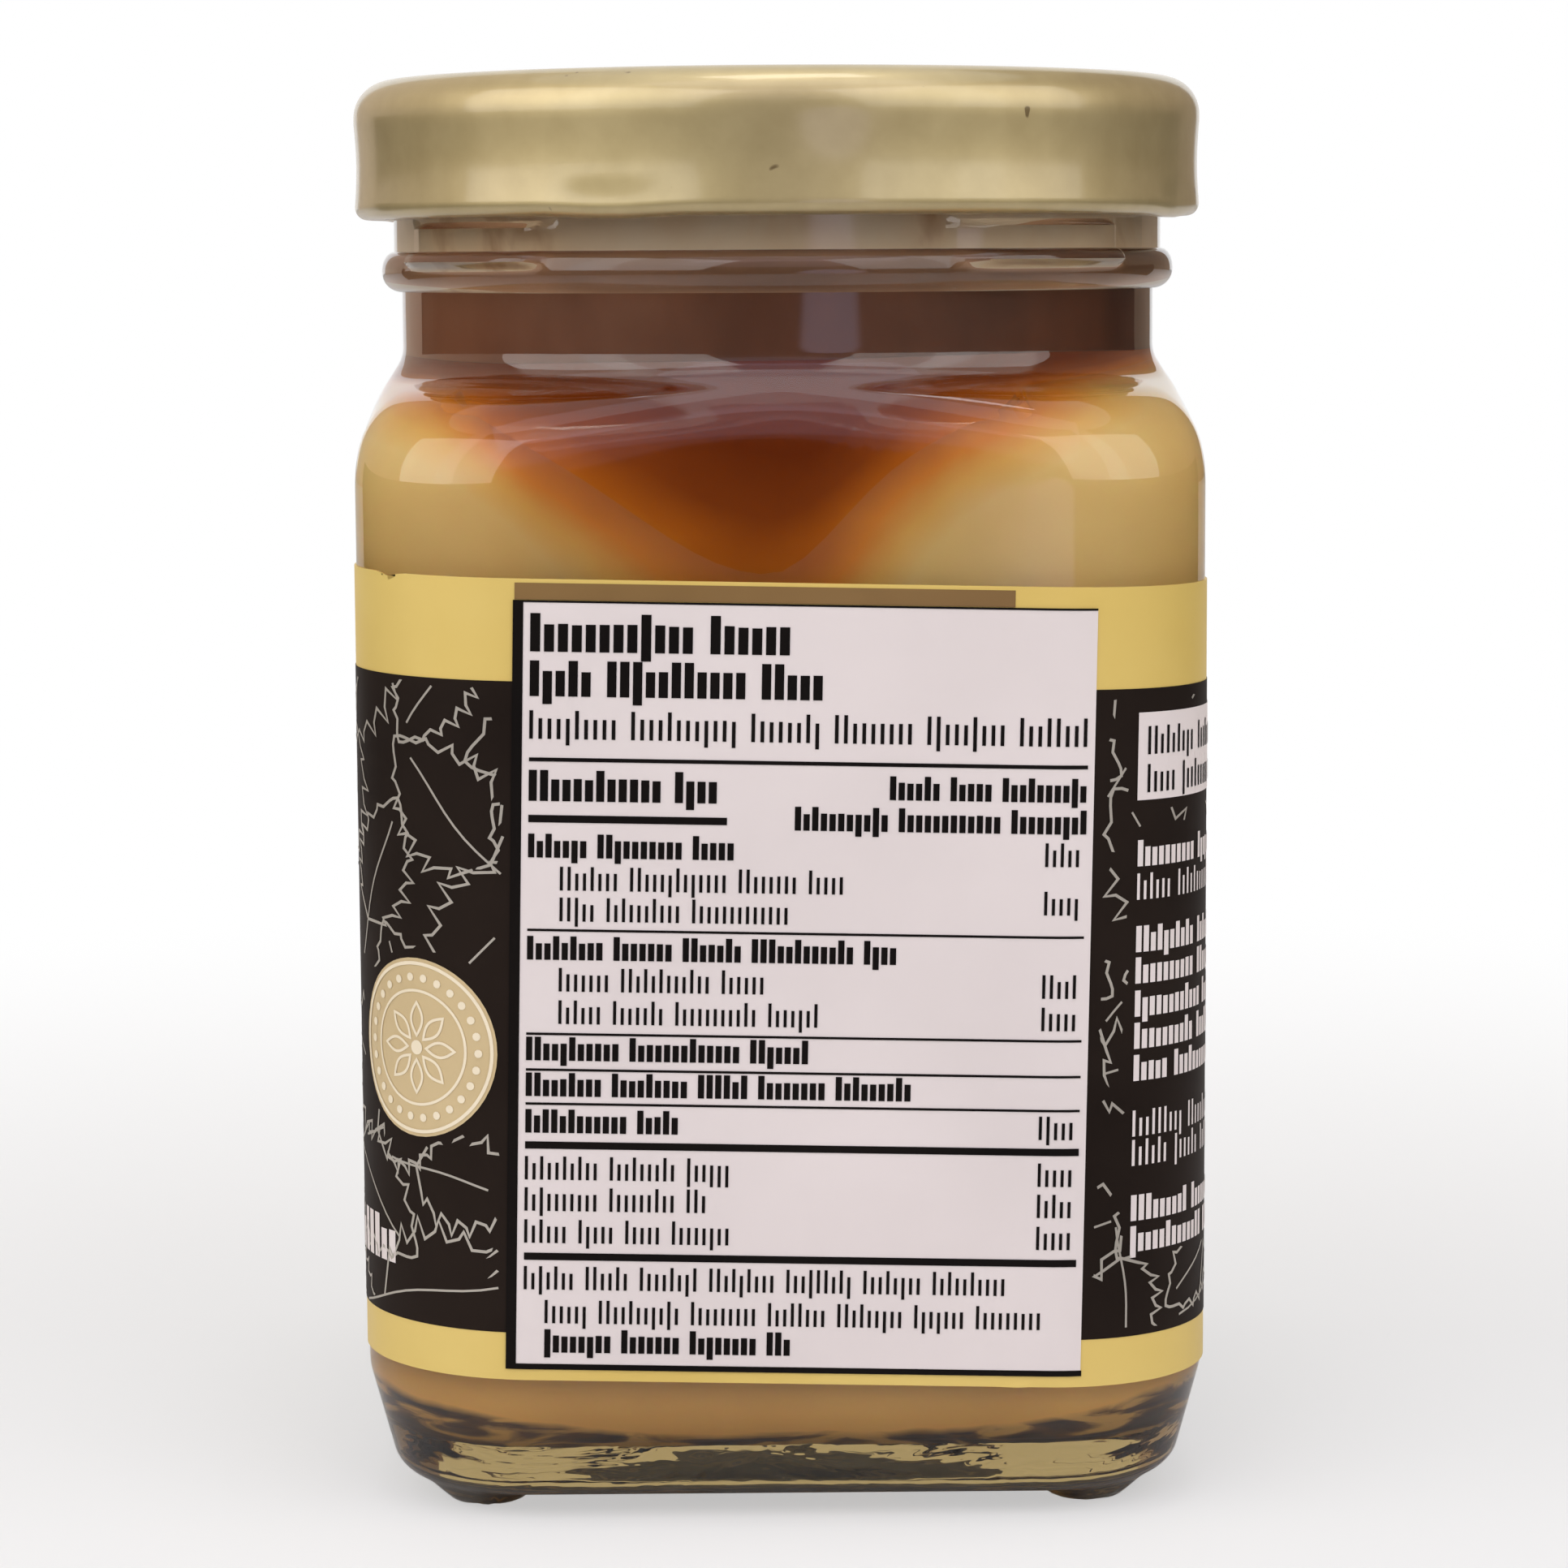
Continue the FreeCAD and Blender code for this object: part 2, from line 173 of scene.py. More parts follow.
# --- camera, lamps and cards, in metres, degrees and watts ---
CAMERA_DISTANCE = 0.270625
CAMERA_HEIGHT = 0.072378
CAMERA_AZIMUTH = -0.417
CAMERA_YAW = CAMERA_AZIMUTH - 0.047
CAMERA_PITCH = 6.844
CAMERA_ROLL = -0.341
CAMERA_LENS = 101.5
LAMPS_AIM = (0, 0, 0.04)
LAMPS = (
    ("left_softbox", (-0.95, -0.64, 0.5), 1.75, 1.3, 16.2, (1.0, 0.985, 0.96)),
    ("right_softbox", (0.95, -0.66, 0.5), 1.65, 1.3, 13.2, (1.0, 0.985, 0.96)),
    ("front_softbox", (0.06, -0.6, 0.95), 1.1, 0.8, 2.4, (0.88, 0.82, 1.0)),
    ("top_softbox", (0.03, -0.06, 1.1), 0.42, 0.26, 1.7, (1.0, 0.99, 0.97)))
WORLD_LEVEL = 0.62
FLOOR_REACH = 3.0
FLOOR_DARK = (219.22, 219.22, 219.22)
FLOOR_LIGHT = (221.94, 221.94, 221.94)
CARD_COLUMNS = 32
CARD_ROWS = 12


# --- helpers ---
def srgb(red, green, blue):
    """Linear colour of an 8-bit screen colour."""
    values = []
    for value in (red, green, blue):
        share = value / 255
        values.append(share / 12.92 if share < 0.04045 else ((share + 0.055) / 1.055) ** 2.4)
    return (*values, 1.0)


def smooth(low, high, value):
    share = min(1.0, max(0.0, (value - low) / (high - low)))
    return share * share * (3 - 2 * share)


def spread(start, end, count):
    """count evenly spaced values from start to end."""
    return [start + (end - start) * index / (count - 1) for index in range(count)]


def finish_piece(name, vertices, faces, material, slot, node):
    """A mesh piece that stands for a CAD node and rides on the one body."""
    mesh = bpy.data.meshes.new(name)
    mesh.from_pydata([(x * MM, y * MM, z * MM) for x, y, z in vertices], [], faces)
    mesh.validate()
    mesh.polygons.foreach_set("use_smooth", [True] * len(mesh.polygons))
    mesh.set_sharp_from_angle(angle=math.radians(42))
    mesh.materials.append(material)
    piece = bpy.data.objects.new(name, mesh)
    bpy.context.scene.collection.objects.link(piece)
    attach(piece, "root")
    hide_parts(node)
    return piece


def faces_between(count, size, closed=False):
    """Faces between count rings of size points; closed joins the last ring to the first."""
    faces = []
    for row in range(count if closed else count - 1):
        low = row * size
        high = (row + 1) % count * size
        for step in range(size):
            after = (step + 1) % size
            faces.append((low + step, low + after, high + after, high + step))
    return faces


def skin(rings, start, end):
    """A closed surface over rings of equal length, with a point at each end."""
    vertices = [point for ring in rings for point in ring] + [start, end]
    size = len(rings[0])
    faces = faces_between(len(rings), size)
    first = len(vertices) - 2
    last = first - size
    for step in range(size):
        after = (step + 1) % size
        faces += [(first, after, step), (first + 1, last + step, last + after)]
    return vertices, faces


# --- jar outline ---
def corner_distance(half_width, radius):
    return (half_width - radius) / ROOT_HALF + radius


def outline_point(face, corner, bulge, index):
    """One of AROUND points on an outline between a rounded square and a circle."""
    quarter, step = divmod(index, 2 * ARC_STEPS)
    on_face = step < ARC_STEPS
    share = (step if on_face else step - ARC_STEPS) / ARC_STEPS
    if bulge < 1e-6:
        corner_radius = (face - ROOT_HALF * corner) / (1 - ROOT_HALF)
        half = face - corner_radius
        x, y = face, half * (2 * share - 1)
        bulge = 0.0
    else:
        sine = math.sin(bulge)
        cosine = math.cos(bulge)
        determinant = -(1 - cosine) * (ROOT_HALF - sine) - (ROOT_HALF - cosine) * sine
        difference = ROOT_HALF * corner - face
        reach = ROOT_HALF * corner
        face_radius = (difference * (ROOT_HALF - sine) - (ROOT_HALF - cosine) * reach) / determinant
        corner_radius = (-(1 - cosine) * reach - sine * difference) / determinant
        angle = bulge * (2 * share - 1)
        x = face - face_radius * (1 - math.cos(angle))
        y = face_radius * math.sin(angle)
    if not on_face:
        centre = (corner - corner_radius) * ROOT_HALF
        angle = bulge + (math.pi / 2 - 2 * bulge) * share
        x = centre + corner_radius * math.cos(angle)
        y = centre + corner_radius * math.sin(angle)
    for turn in range(quarter):
        x, y = -y, x
    return x, y


def flare(height, start, end, convex, concave, z):
    """Radius at height z of a profile with a convex and then a concave round."""
    if z <= 0:
        return start
    if z >= height:
        return end
    step = start - end
    size = abs(step)
    sign = 1 if step > 0 else -1
    both = convex + concave
    shrink = min(1.0, 0.98 * (height ** 2 + size ** 2) / (2 * size) / both)
    convex = convex * shrink
    concave = concave * shrink
    both = convex + concave
    straight = math.sqrt(height ** 2 + (both - size) ** 2 - both ** 2)
    slope = math.atan2(height, both - size) - math.atan2(straight, both)
    convex_top = convex * math.sin(slope)
    if z < convex_top:
        drop = convex - math.sqrt(convex ** 2 - z ** 2)
    elif z > height - concave * math.sin(slope):
        drop = size - (concave - math.sqrt(concave ** 2 - (height - z) ** 2))
    else:
        drop = convex * (1 - math.cos(slope)) + (z - convex_top) * math.tan(slope)
    return start - sign * drop


def wall_outline(z, inset):
    """face, corner and bulge of the body, shoulder or neck at height z."""
    body_face = HALF_WIDTH - inset
    body_corner = corner_distance(body_face, CORNER_RADIUS - inset)
    neck = NECK_RADIUS - inset
    if z <= SHOULDER_Z:
        return body_face, body_corner, 0.0
    if z >= NECK_Z:
        return neck, neck, FULL_BULGE
    rise = z - SHOULDER_Z
    face = flare(SHOULDER_FACE_HEIGHT, body_face, neck, FACE_ROUND - inset,
                 NECK_FLARE_ROUND + inset, rise - SHOULDER_HEIGHT + SHOULDER_FACE_HEIGHT)
    corner = flare(SHOULDER_HEIGHT, body_corner, neck, CORNER_ROUND - inset,
                   NECK_FLARE_ROUND + inset, rise)
    return face, corner, FULL_BULGE * (body_corner - corner) / (body_corner - neck)


def inner_outline(z):
    """The same for the hollow, with the round at its floor."""
    face, corner, bulge = wall_outline(z, WALL)
    height = z - FLOOR_Z
    if height < INSIDE_ROUND:
        drop = INSIDE_ROUND - max(0.0, height)
        inset = INSIDE_ROUND - math.sqrt(INSIDE_ROUND ** 2 - drop ** 2)
        face = face - inset
        corner = corner_distance(face, CORNER_RADIUS - WALL - inset)
    return face, corner, bulge


def heel_inset(z):
    slope = HEEL_INSET / HEEL_HEIGHT
    left = BODY_Z + HEEL_TOP_BLEND - z
    if left <= 0:
        return 0.0
    if left < 2 * HEEL_TOP_BLEND:
        return slope * left ** 2 / (4 * HEEL_TOP_BLEND)
    return slope * (left - HEEL_TOP_BLEND)


def ring(z, face, corner, bulge):
    return [(*outline_point(face, corner, bulge, index), z) for index in range(AROUND)]


def round_ring(z, radius):
    return ring(z, radius, radius, FULL_BULGE)


# --- glass jar ---
def turned(x, y, angle):
    """Degrees from angle to the direction of a point, between -180 and 180."""
    return (math.degrees(math.atan2(y, x)) - angle + 180) % 360 - 180


def block_share(x, y, z, middle, span, low, high):
    """1 on a moulded block of the finish, 0 off it, with soft edges."""
    edge = span / 2 - abs(turned(x, y, middle))
    if edge < -1:
        return 0.0
    lower = smooth(low - 0.1, low + 0.35, z)
    upper = 1 - smooth(high - 0.35, high + 0.1, z)
    return smooth(-1.0, 2.0, edge) * lower * upper


def with_threads(points):
    """Pushes the finish out where threads and stops are moulded on it."""
    thread_z = LID_BOTTOM_Z + 2 * LUG_RADIUS + THREAD_LUG_GAP
    blocks = ((0, THREAD_SPAN, thread_z, thread_z + THREAD_HEIGHT),
              (-STOP_LEAD, STOP_SPAN, FINISH_Z - 1, FINISH_Z + STOP_HEIGHT))
    moved = []
    for x, y, z in points:
        share = 0.0
        for number in range(LUG_COUNT):
            angle = LUG_ANGLE + 360 / LUG_COUNT * number
            for lead, *block in blocks:
                share = max(share, block_share(x, y, z, angle + lead, *block))
        grow = 1 + THREAD_DEPTH * share / FINISH_RADIUS
        moved.append((x * grow, y * grow, z))
    return moved


def with_feet(points):
    """Pulls the underside and heel down into four low feet."""
    middle = HALF_WIDTH - CORNER_RADIUS + FOOT_OUTSET * ROOT_HALF
    moved = []
    for x, y, z in points:
        distance = math.hypot(abs(x) - middle, abs(y) - middle)
        foot = 1 - smooth(FOOT_CONTACT_RADIUS - 0.2, FOOT_RADIUS + 0.3, distance)
        reach = 1 - smooth(UNDERSIDE_Z, UNDERSIDE_Z + 2.5, z)
        moved.append((x, y, z - FOOT_HEIGHT * foot * reach))
    return moved


def glass_rings():
    """Rings over the glass, up the outside from the underside and down the inside."""
    dome_radius = (PUSH_UP_RADIUS ** 2 + PUSH_UP_DEPTH ** 2) / (2 * PUSH_UP_DEPTH)
    dome_centre = UNDERSIDE_Z + PUSH_UP_DEPTH - dome_radius
    rings = [round_ring(dome_centre + math.sqrt(dome_radius ** 2 - radius ** 2), radius)
             for radius in spread(1.0, PUSH_UP_RADIUS, 12)]
    edge_face = HALF_WIDTH - HEEL_INSET - HEEL_EDGE_ROUND
    edge_corner = corner_distance(edge_face, CORNER_RADIUS - HEEL_INSET - HEEL_EDGE_ROUND)
    for share in spread(0.05, 1.0, 22):
        face = PUSH_UP_RADIUS + (edge_face - PUSH_UP_RADIUS) * share
        corner = PUSH_UP_RADIUS + (edge_corner - PUSH_UP_RADIUS) * share
        rings.append(with_feet(ring(UNDERSIDE_Z, face, corner, FULL_BULGE * (1 - share))))
    low = UNDERSIDE_Z + HEEL_EDGE_ROUND
    heel = [(low - HEEL_EDGE_ROUND * math.cos(angle), HEEL_EDGE_ROUND * (1 - math.sin(angle)))
            for angle in spread(0.1, math.pi / 2, 10)]
    heel += [(z, 0) for z in spread(low + 0.2, BODY_Z + HEEL_TOP_BLEND, 22)]
    for z, edge_inset in heel:
        inset = heel_inset(z) + edge_inset
        face = HALF_WIDTH - inset
        rings.append(with_feet(ring(z, face, corner_distance(face, CORNER_RADIUS - inset), 0)))
    outside = (spread(BODY_Z + 2, SHOULDER_Z - 0.5, 14) + spread(SHOULDER_Z, NECK_Z, 40)
               + spread(NECK_Z + 0.3, BEAD_Z - 0.2, 6))
    rings += [ring(z, *wall_outline(z, 0)) for z in outside]
    for angle in spread(-math.pi / 2, math.pi / 2, 19):
        base = NECK_RADIUS if angle < 0 else FINISH_RADIUS
        radius = base + (NECK_RADIUS + BEAD_DEPTH - base) * math.cos(angle)
        z = BEAD_Z + BEAD_HEIGHT / 2 * (1 + math.sin(angle))
        rings.append(with_threads(round_ring(z, radius)))
    rings += [with_threads(round_ring(z, FINISH_RADIUS))
              for z in spread(FINISH_Z + 0.15, RIM_Z - RIM_ROUND, 48)]
    round_z = RIM_Z - RIM_ROUND
    for angle in spread(0.2, math.pi / 2, 6):
        radius = FINISH_RADIUS - RIM_ROUND * (1 - math.cos(angle))
        rings.append(round_ring(round_z + RIM_ROUND * math.sin(angle), radius))
    for angle in spread(0, math.pi / 2, 6):
        radius = MOUTH_RADIUS + RIM_ROUND * (1 - math.sin(angle))
        rings.append(round_ring(round_z + RIM_ROUND * math.cos(angle), radius))
    inside = (spread(RIM_Z - 2, NECK_Z, 10) + spread(NECK_Z - 0.2, SHOULDER_Z, 40)
              + spread(SHOULDER_Z - 1, FLOOR_Z + INSIDE_ROUND, 14))
    inside += [FLOOR_Z + INSIDE_ROUND * (1 - math.sin(angle))
               for angle in spread(0.1, math.pi / 2, 12)]
    rings += [ring(z, *inner_outline(z)) for z in inside]
    face, corner, bulge = inner_outline(FLOOR_Z)
    rings += [ring(FLOOR_Z, face * share, corner * share, 0) for share in spread(0.9, 0.1, 8)]
    return rings


# --- contents ---
def butter_top(x, y):
    """Height of the butter: higher at both sides, with a furrow at the front."""
    side = x / HALF_WIDTH
    rise = BUTTER_LEFT_RISE if x < 0 else BUTTER_RIGHT_RISE
    across = (x - FURROW_X) / (FURROW_LEFT_WIDTH if x < FURROW_X else FURROW_RIGHT_WIDTH)
    along = (y + HALF_WIDTH) / FURROW_LENGTH
    furrow = FURROW_DEPTH * math.exp(-across ** 2 - along ** 2)
    return NECK_Z - BUTTER_BELOW_NECK + rise * abs(side) ** 1.5 - furrow


def syrup_top(x, y):
    side = x / HALF_WIDTH
    wave = (math.sin(5 * side + 1) + 0.4 * math.sin(13 * side)) * math.cos(2 * y / HALF_WIDTH)
    return NECK_Z - SYRUP_BELOW_NECK + SYRUP_TILT * side + SYRUP_WAVE * wave


def wall_point(z, index, reach):
    """Point of the contents' side, just inside the glass wall."""
    face, corner, bulge = inner_outline(z)
    return outline_point(face + reach, corner + reach, bulge, index)


def meeting_height(surface, index, reach):
    """Height at which a wavy surface meets the wall."""
    z = NECK_Z - BUTTER_BELOW_NECK
    for attempt in range(6):
        z = surface(*wall_point(z, index, reach))
    return z


def edge_heights(surface, reach):
    return [meeting_height(surface, index, reach) for index in range(AROUND)]


def wall_ring(heights, reach):
    return [(*wall_point(z, index, reach), z) for index, z in enumerate(heights)]


def side_rings(low, high, count, reach, ease=1):
    """Rings up the wall between two heights given for each point around.

    An ease above 1 packs them near the top.
    """
    rings = []
    for step in spread(0, 1, count):
        share = 1 - (1 - step) ** ease
        heights = [start + (end - start) * share for start, end in zip(low, high)]
        rings.append(wall_ring(heights, reach))
    return rings


def surface_rings(edge, surface, lift, outwards):
    """Rings of a wavy surface between the middle and its edge."""
    shares = spread(0.97, 0.04, 26)
    if outwards:
        shares.reverse()
    return [[(x * share, y * share, surface(x * share, y * share) + lift) for x, y, z in edge]
            for share in shares]


def butter_mesh():
    floor = FLOOR_Z - REACH_INTO_WALL
    edge = [wall_point(FLOOR_Z + 0.02, index, 0) for index in range(AROUND)]
    rings = [[(x * share, y * share, floor) for x, y in edge] for share in spread(0.1, 1.0, 10)]
    for angle in spread(0.15, math.pi / 2, 12):
        z = FLOOR_Z + INSIDE_ROUND * (1 - math.cos(angle))
        rings.append(wall_ring([z] * AROUND, REACH_INTO_WALL))
    start = [FLOOR_Z + INSIDE_ROUND + 0.5] * AROUND
    top = edge_heights(butter_top, REACH_INTO_WALL)
    rings += side_rings(start, top, 110, REACH_INTO_WALL, 2)
    rings += surface_rings(rings[-1], butter_top, 0, False)
    return skin(rings, (0, 0, floor), (0, 0, butter_top(0, 0)))


def syrup_mesh():
    reach = REACH_INTO_WALL - 0.01
    bottom = [z - 0.1 for z in edge_heights(butter_top, reach)]
    sides = side_rings(bottom, edge_heights(syrup_top, reach), 40, reach)
    rings = surface_rings(sides[0], butter_top, -0.1, True)
    rings += sides
    rings += surface_rings(sides[-1], syrup_top, 0, False)
    return skin(rings, (0, 0, butter_top(0, 0) - 0.1), (0, 0, syrup_top(0, 0)))


def film_mesh(low, high):
    """A film on the neck's inner wall, between two heights given for each point around."""
    half = FILM_THICKNESS / 2
    rings = side_rings(low, high, FILM_RINGS, half) + side_rings(high, low, FILM_RINGS, -half)
    return [point for points in rings for point in points], faces_between(len(rings), AROUND, True)


def add_border_attribute(piece):
    """How far each point lies from the soft edge between syrup and butter.

    It is 0.5 on the edge, 1 deep in the butter and 0 high in the syrup. The edge
    is widest round the furrow at the front.
    """
    mesh = piece.data
    attribute = mesh.attributes.new("border", "FLOAT", "POINT")
    values = []
    for vertex in mesh.vertices:
        x, y, z = vertex.co / MM
        near_furrow = math.exp(-((x + 2.5) / 11) ** 2) * smooth(8, -14, y)
        below = butter_top(x, y) - z
        width = 2.8 + 9.5 * near_furrow if below > 0 else 2.6 + 7.0 * near_furrow
        values.append(min(1.0, max(0.0, 0.5 + below / width / 2)))
    attribute.data.foreach_set("value", values)


# --- lid ---
def lid_profile():
    """Outline of the pressed cap, outside from the middle of the top and back inside."""
    panel_edge = MOUTH_RADIUS - PANEL_EDGE_GAP
    panel_z = LID_TOP_Z - PANEL_DEPTH
    shoulder_r = LID_RADIUS - LID_TOP_ROUND
    points = []
    top = [(2.0, panel_z + BUTTON_HEIGHT), (BUTTON_RADIUS - PANEL_SLOPE, panel_z + BUTTON_HEIGHT),
           (BUTTON_RADIUS, panel_z), (panel_edge - PANEL_SLOPE, panel_z), (panel_edge, LID_TOP_Z)]
    for (radius, z), (next_radius, next_z) in zip(top, top[1:]):
        points += [(radius + (next_radius - radius) * share, z + (next_z - z) * smooth(0, 1, share))
                   for share in spread(0, 6 / 7, 7)]
    points += [(radius, LID_TOP_Z) for radius in spread(panel_edge, shoulder_r - 0.3, 4)]
    shoulder_z = LID_TOP_Z - LID_TOP_ROUND

    def rounded(size, start, end, count):
        return [(shoulder_r + size * math.sin(angle), shoulder_z + size * math.cos(angle))
                for angle in spread(start, end, count)]

    points += rounded(LID_TOP_ROUND, 0, math.pi / 2, 14)
    skirt_top = shoulder_z - 0.4
    curl_z = LID_BOTTOM_Z + CURL_RADIUS
    points += [(LID_RADIUS - SKIRT_WAIST * math.sin(math.pi * share),
                skirt_top + (curl_z - skirt_top) * share) for share in spread(0, 0.96, 16)]
    for angle in spread(0, math.radians(-235), 20):
        points.append((LID_RADIUS - CURL_RADIUS * (1 - math.cos(angle)),
                       curl_z + CURL_RADIUS * math.sin(angle)))
    inside_low = curl_z + CURL_RADIUS + 0.8
    points += [(LID_RADIUS - LID_SHEET, z) for z in spread(inside_low, shoulder_z, 6)]
    points += rounded(LID_TOP_ROUND - LID_SHEET, math.pi / 2, 0, 8)
    points += [(radius, z - LID_SHEET) for radius, z in reversed(top)]
    return points


def lug_press(angle, z):
    """1 where the lid's lower edge is pressed in for a lug, and 0 off it."""
    press = 0.0
    for number in range(LUG_COUNT):
        away = (math.degrees(angle) - LUG_ANGLE - 360 / LUG_COUNT * number + 180) % 360 - 180
        press = max(press, 1 - smooth(LUG_SPAN * 0.1, LUG_SPAN * 0.75, abs(away)))
    return press * (1 - smooth(LID_BOTTOM_Z + 0.9, LID_BOTTOM_Z + 2.4, z))


def lid_mesh():
    rings = []
    profile = lid_profile()
    for radius, z in profile:
        pressed = radius > LID_RADIUS - 2 * CURL_RADIUS - 0.1 and z < LID_BOTTOM_Z + 2.4
        points = []
        for step in range(LID_AROUND):
            angle = 2 * math.pi * step / LID_AROUND
            press = lug_press(angle, z) if pressed else 0.0
            size = radius - LUG_PRESS * press
            points.append((size * math.cos(angle), size * math.sin(angle), z - 0.15 * press))
        rings.append(points)
    return skin(rings, (0, 0, profile[0][1]), (0, 0, profile[-1][1]))


# --- label ---
STRAIGHT = HALF_WIDTH - CORNER_RADIUS
SIDE_LENGTH = 2 * STRAIGHT + (CORNER_RADIUS + LABEL_THICKNESS) * math.pi / 2
LABEL_END = 2 * SIDE_LENGTH - SEAM_OFFSET + SEAM_OVERLAP / 2
LABEL_START = LABEL_END - SEAM_OVERLAP - 4 * SIDE_LENGTH
OVERLAP_START = LABEL_END - SEAM_OVERLAP
PLAQUE_U = -SIDE_LENGTH


def around(length, out):
    """x, y and the outward direction, a length along the label from the front's middle."""
    quarter, along = divmod(length + STRAIGHT, SIDE_LENGTH)
    turn = max(0.0, along - 2 * STRAIGHT) / (CORNER_RADIUS + LABEL_THICKNESS)
    x = min(along, 2 * STRAIGHT) - STRAIGHT + (CORNER_RADIUS + out) * math.sin(turn)
    y = -STRAIGHT - (CORNER_RADIUS + out) * math.cos(turn)
    normal_x = math.sin(turn)
    normal_y = -math.cos(turn)
    for step in range(int(quarter) % 4):
        x, y = -y, x
        normal_x, normal_y = -normal_y, normal_x
    return x, y, normal_x, normal_y


def on_label(u, v, level):
    """Point of the label: u along it, v up it, level above the glass."""
    facing = -around(u, 0)[3]
    lift = LABEL_THICKNESS * smooth(OVERLAP_START - 2.5, OVERLAP_START - 0.2, u)
    x, y, normal_x, normal_y = around(u + v * LABEL_SLOPE * facing, level + lift)
    return x, y, LABEL_MIDDLE_Z + v - x * LABEL_SLOPE


def ellipse(u, v, half_width, half_height, steps):
    turns = [2 * math.pi * step / steps for step in range(steps)]
    return [(u + half_width * math.cos(turn), v + half_height * math.sin(turn)) for turn in turns]


class Print:
    """Shapes of one ink, gathered into one thin mesh on the label."""

    def __init__(self, layer):
        self.level = LABEL_THICKNESS + INK_STEP * layer
        self.vertices = []
        self.faces = []

    def point(self, u, v):
        self.vertices.append(on_label(u, v, self.level))
        return len(self.vertices) - 1

    def box(self, left, right, bottom, top):
        columns = max(1, math.ceil((right - left) / 0.7))
        rows = max(1, math.ceil((top - bottom) / 6))
        grid = [[self.point(u, v) for u in spread(left, right, columns + 1)]
                for v in spread(bottom, top, rows + 1)]
        for low, high in zip(grid, grid[1:]):
            for column in range(columns):
                self.faces.append((low[column], low[column + 1], high[column + 1], high[column]))

    def ribbon(self, points, width, closed=False, keep=None):
        """A line of even width; keep says which of its places are printed."""
        count = len(points)
        pairs = []
        for index in range(count):
            at_end = not closed and index == count - 1
            here = Vector(points[index])
            first = second = None
            if closed or index:
                first = (here - Vector(points[index - 1])).normalized()
            if not at_end:
                second = (Vector(points[(index + 1) % count]) - here).normalized()
            first = first or second
            second = second or first
            tangent = (first + second).normalized() if (first + second).length > 0.2 else second
            normal = Vector((-tangent.y, tangent.x))
            mitre = min(1.6, 1 / max(0.3, abs(normal.dot(Vector((-second.y, second.x))))))
            offset = normal * (width / 2 * mitre)
            pairs.append((self.point(*(here + offset)), self.point(*(here - offset))))
        last = count if closed else count - 1
        for index in range(last):
            following = (index + 1) % count
            if keep and not (keep(*points[index]) and keep(*points[following])):
                continue
            left, right = pairs[index]
            next_left, next_right = pairs[following]
            self.faces.append((right, next_right, next_left, left))

    def disc(self, u, v, radius, steps=48):
        rings = max(1, math.ceil(radius / 0.7))
        previous = None
        centre = self.point(u, v)
        for number in range(1, rings + 1):
            size = radius * number / rings
            current = [self.point(*place) for place in ellipse(u, v, size, size, steps)]
            for step in range(steps):
                after = (step + 1) % steps
                if previous:
                    face = (previous[step], current[step], current[after], previous[after])
                else:
                    face = (centre, current[step], current[after])
                self.faces.append(face)
            previous = current


def blank_line(ink, dice, left, right, base, height, bold):
    """A line of blank word shapes from left to right: upright strokes, and no letters."""
    low = height * 0.74
    stroke = height * (0.26 if bold else 0.13)
    gap = height * (0.1 if bold else 0.19)
    u = left
    while u < right - 0.5 * height:
        for number in range(dice.randint(5, 13)):
            if u + stroke > right:
                break
            tall = number == 0 or dice.random() < 0.2
            foot = base - (0.22 * height if dice.random() < 0.06 else 0)
            head = base + (height if tall else low * dice.uniform(0.93, 1.0))
            ink.box(u, u + stroke, foot, head)
            u += stroke + gap
        u += height * 0.36


def panel_print(ink):
    """Rules and rows of the ruled panel on the front."""
    dice = random.Random(11)
    left = PANEL_LEFT + 0.4
    right = PANEL_RIGHT - 0.4
    ink.box(PANEL_LEFT - 0.58, PANEL_LEFT, PANEL_BOTTOM - 0.33, PANEL_TOP + 0.12)
    ink.box(PANEL_LEFT, PANEL_RIGHT + 0.05, PANEL_BOTTOM - 0.33, PANEL_BOTTOM)
    ink.box(PANEL_LEFT, PANEL_RIGHT, PANEL_TOP, PANEL_TOP + 0.12)
    rules = ((12.74, 0.22, right), (9.4, 0.42, -3.4), (3.09, 0.14, right), (-2.83, 0.14, right),
             (-4.88, 0.14, right), (-6.83, 0.14, right), (-9.21, 0.42, right), (-15.63, 0.42, right))
    for v, thickness, end in rules:
        ink.box(left, end, v - thickness / 2, v + thickness / 2)
    headings = ((18.8, left, 1.6, 2.15, True), (16.3, left, 2.5, 2.0, True),
                (10.4, left, -3.5, 1.75, True), (13.9, left, right, 1.6, False),
                (10.75, 5.7, right, PANEL_LINE, True), (8.95, 0.4, right, PANEL_LINE, True))
    for base, start, end, height, bold in headings:
        blank_line(ink, dice, start, end, base, height, bold)
    # height of the row, indent, end, bold, height of the value at its right
    rows = ((7.2, 0, -3.0, True, 7.1), (5.35, 1.8, 3.2, False, None), (3.6, 1.8, 0.1, False, 4.35),
            (1.4, 0, 6.5, True, None), (-0.4, 1.8, -1.0, False, -0.4),
            (-2.25, 1.8, 2.0, False, -2.25), (-4.35, 0, 1.6, True, None),
            (-6.4, 0, 7.6, True, None), (-8.5, 0, -5.0, True, -8.5),
            (-11.2, 0, -2.2, False, -11.2), (-13.0, 0, -4.0, False, -13.0),
            (-14.85, 0, -2.9, False, -14.85), (-17.55, 0, 13.1, False, None),
            (-19.5, 1.2, 15.5, False, None), (-21.2, 1.2, 1.0, True, None))
    for base, indent, end, bold, value in rows:
        blank_line(ink, dice, left + indent, end, base, PANEL_LINE, bold)
        if value is not None:
            blank_line(ink, dice, right - 2.3, right, value, PANEL_LINE, False)


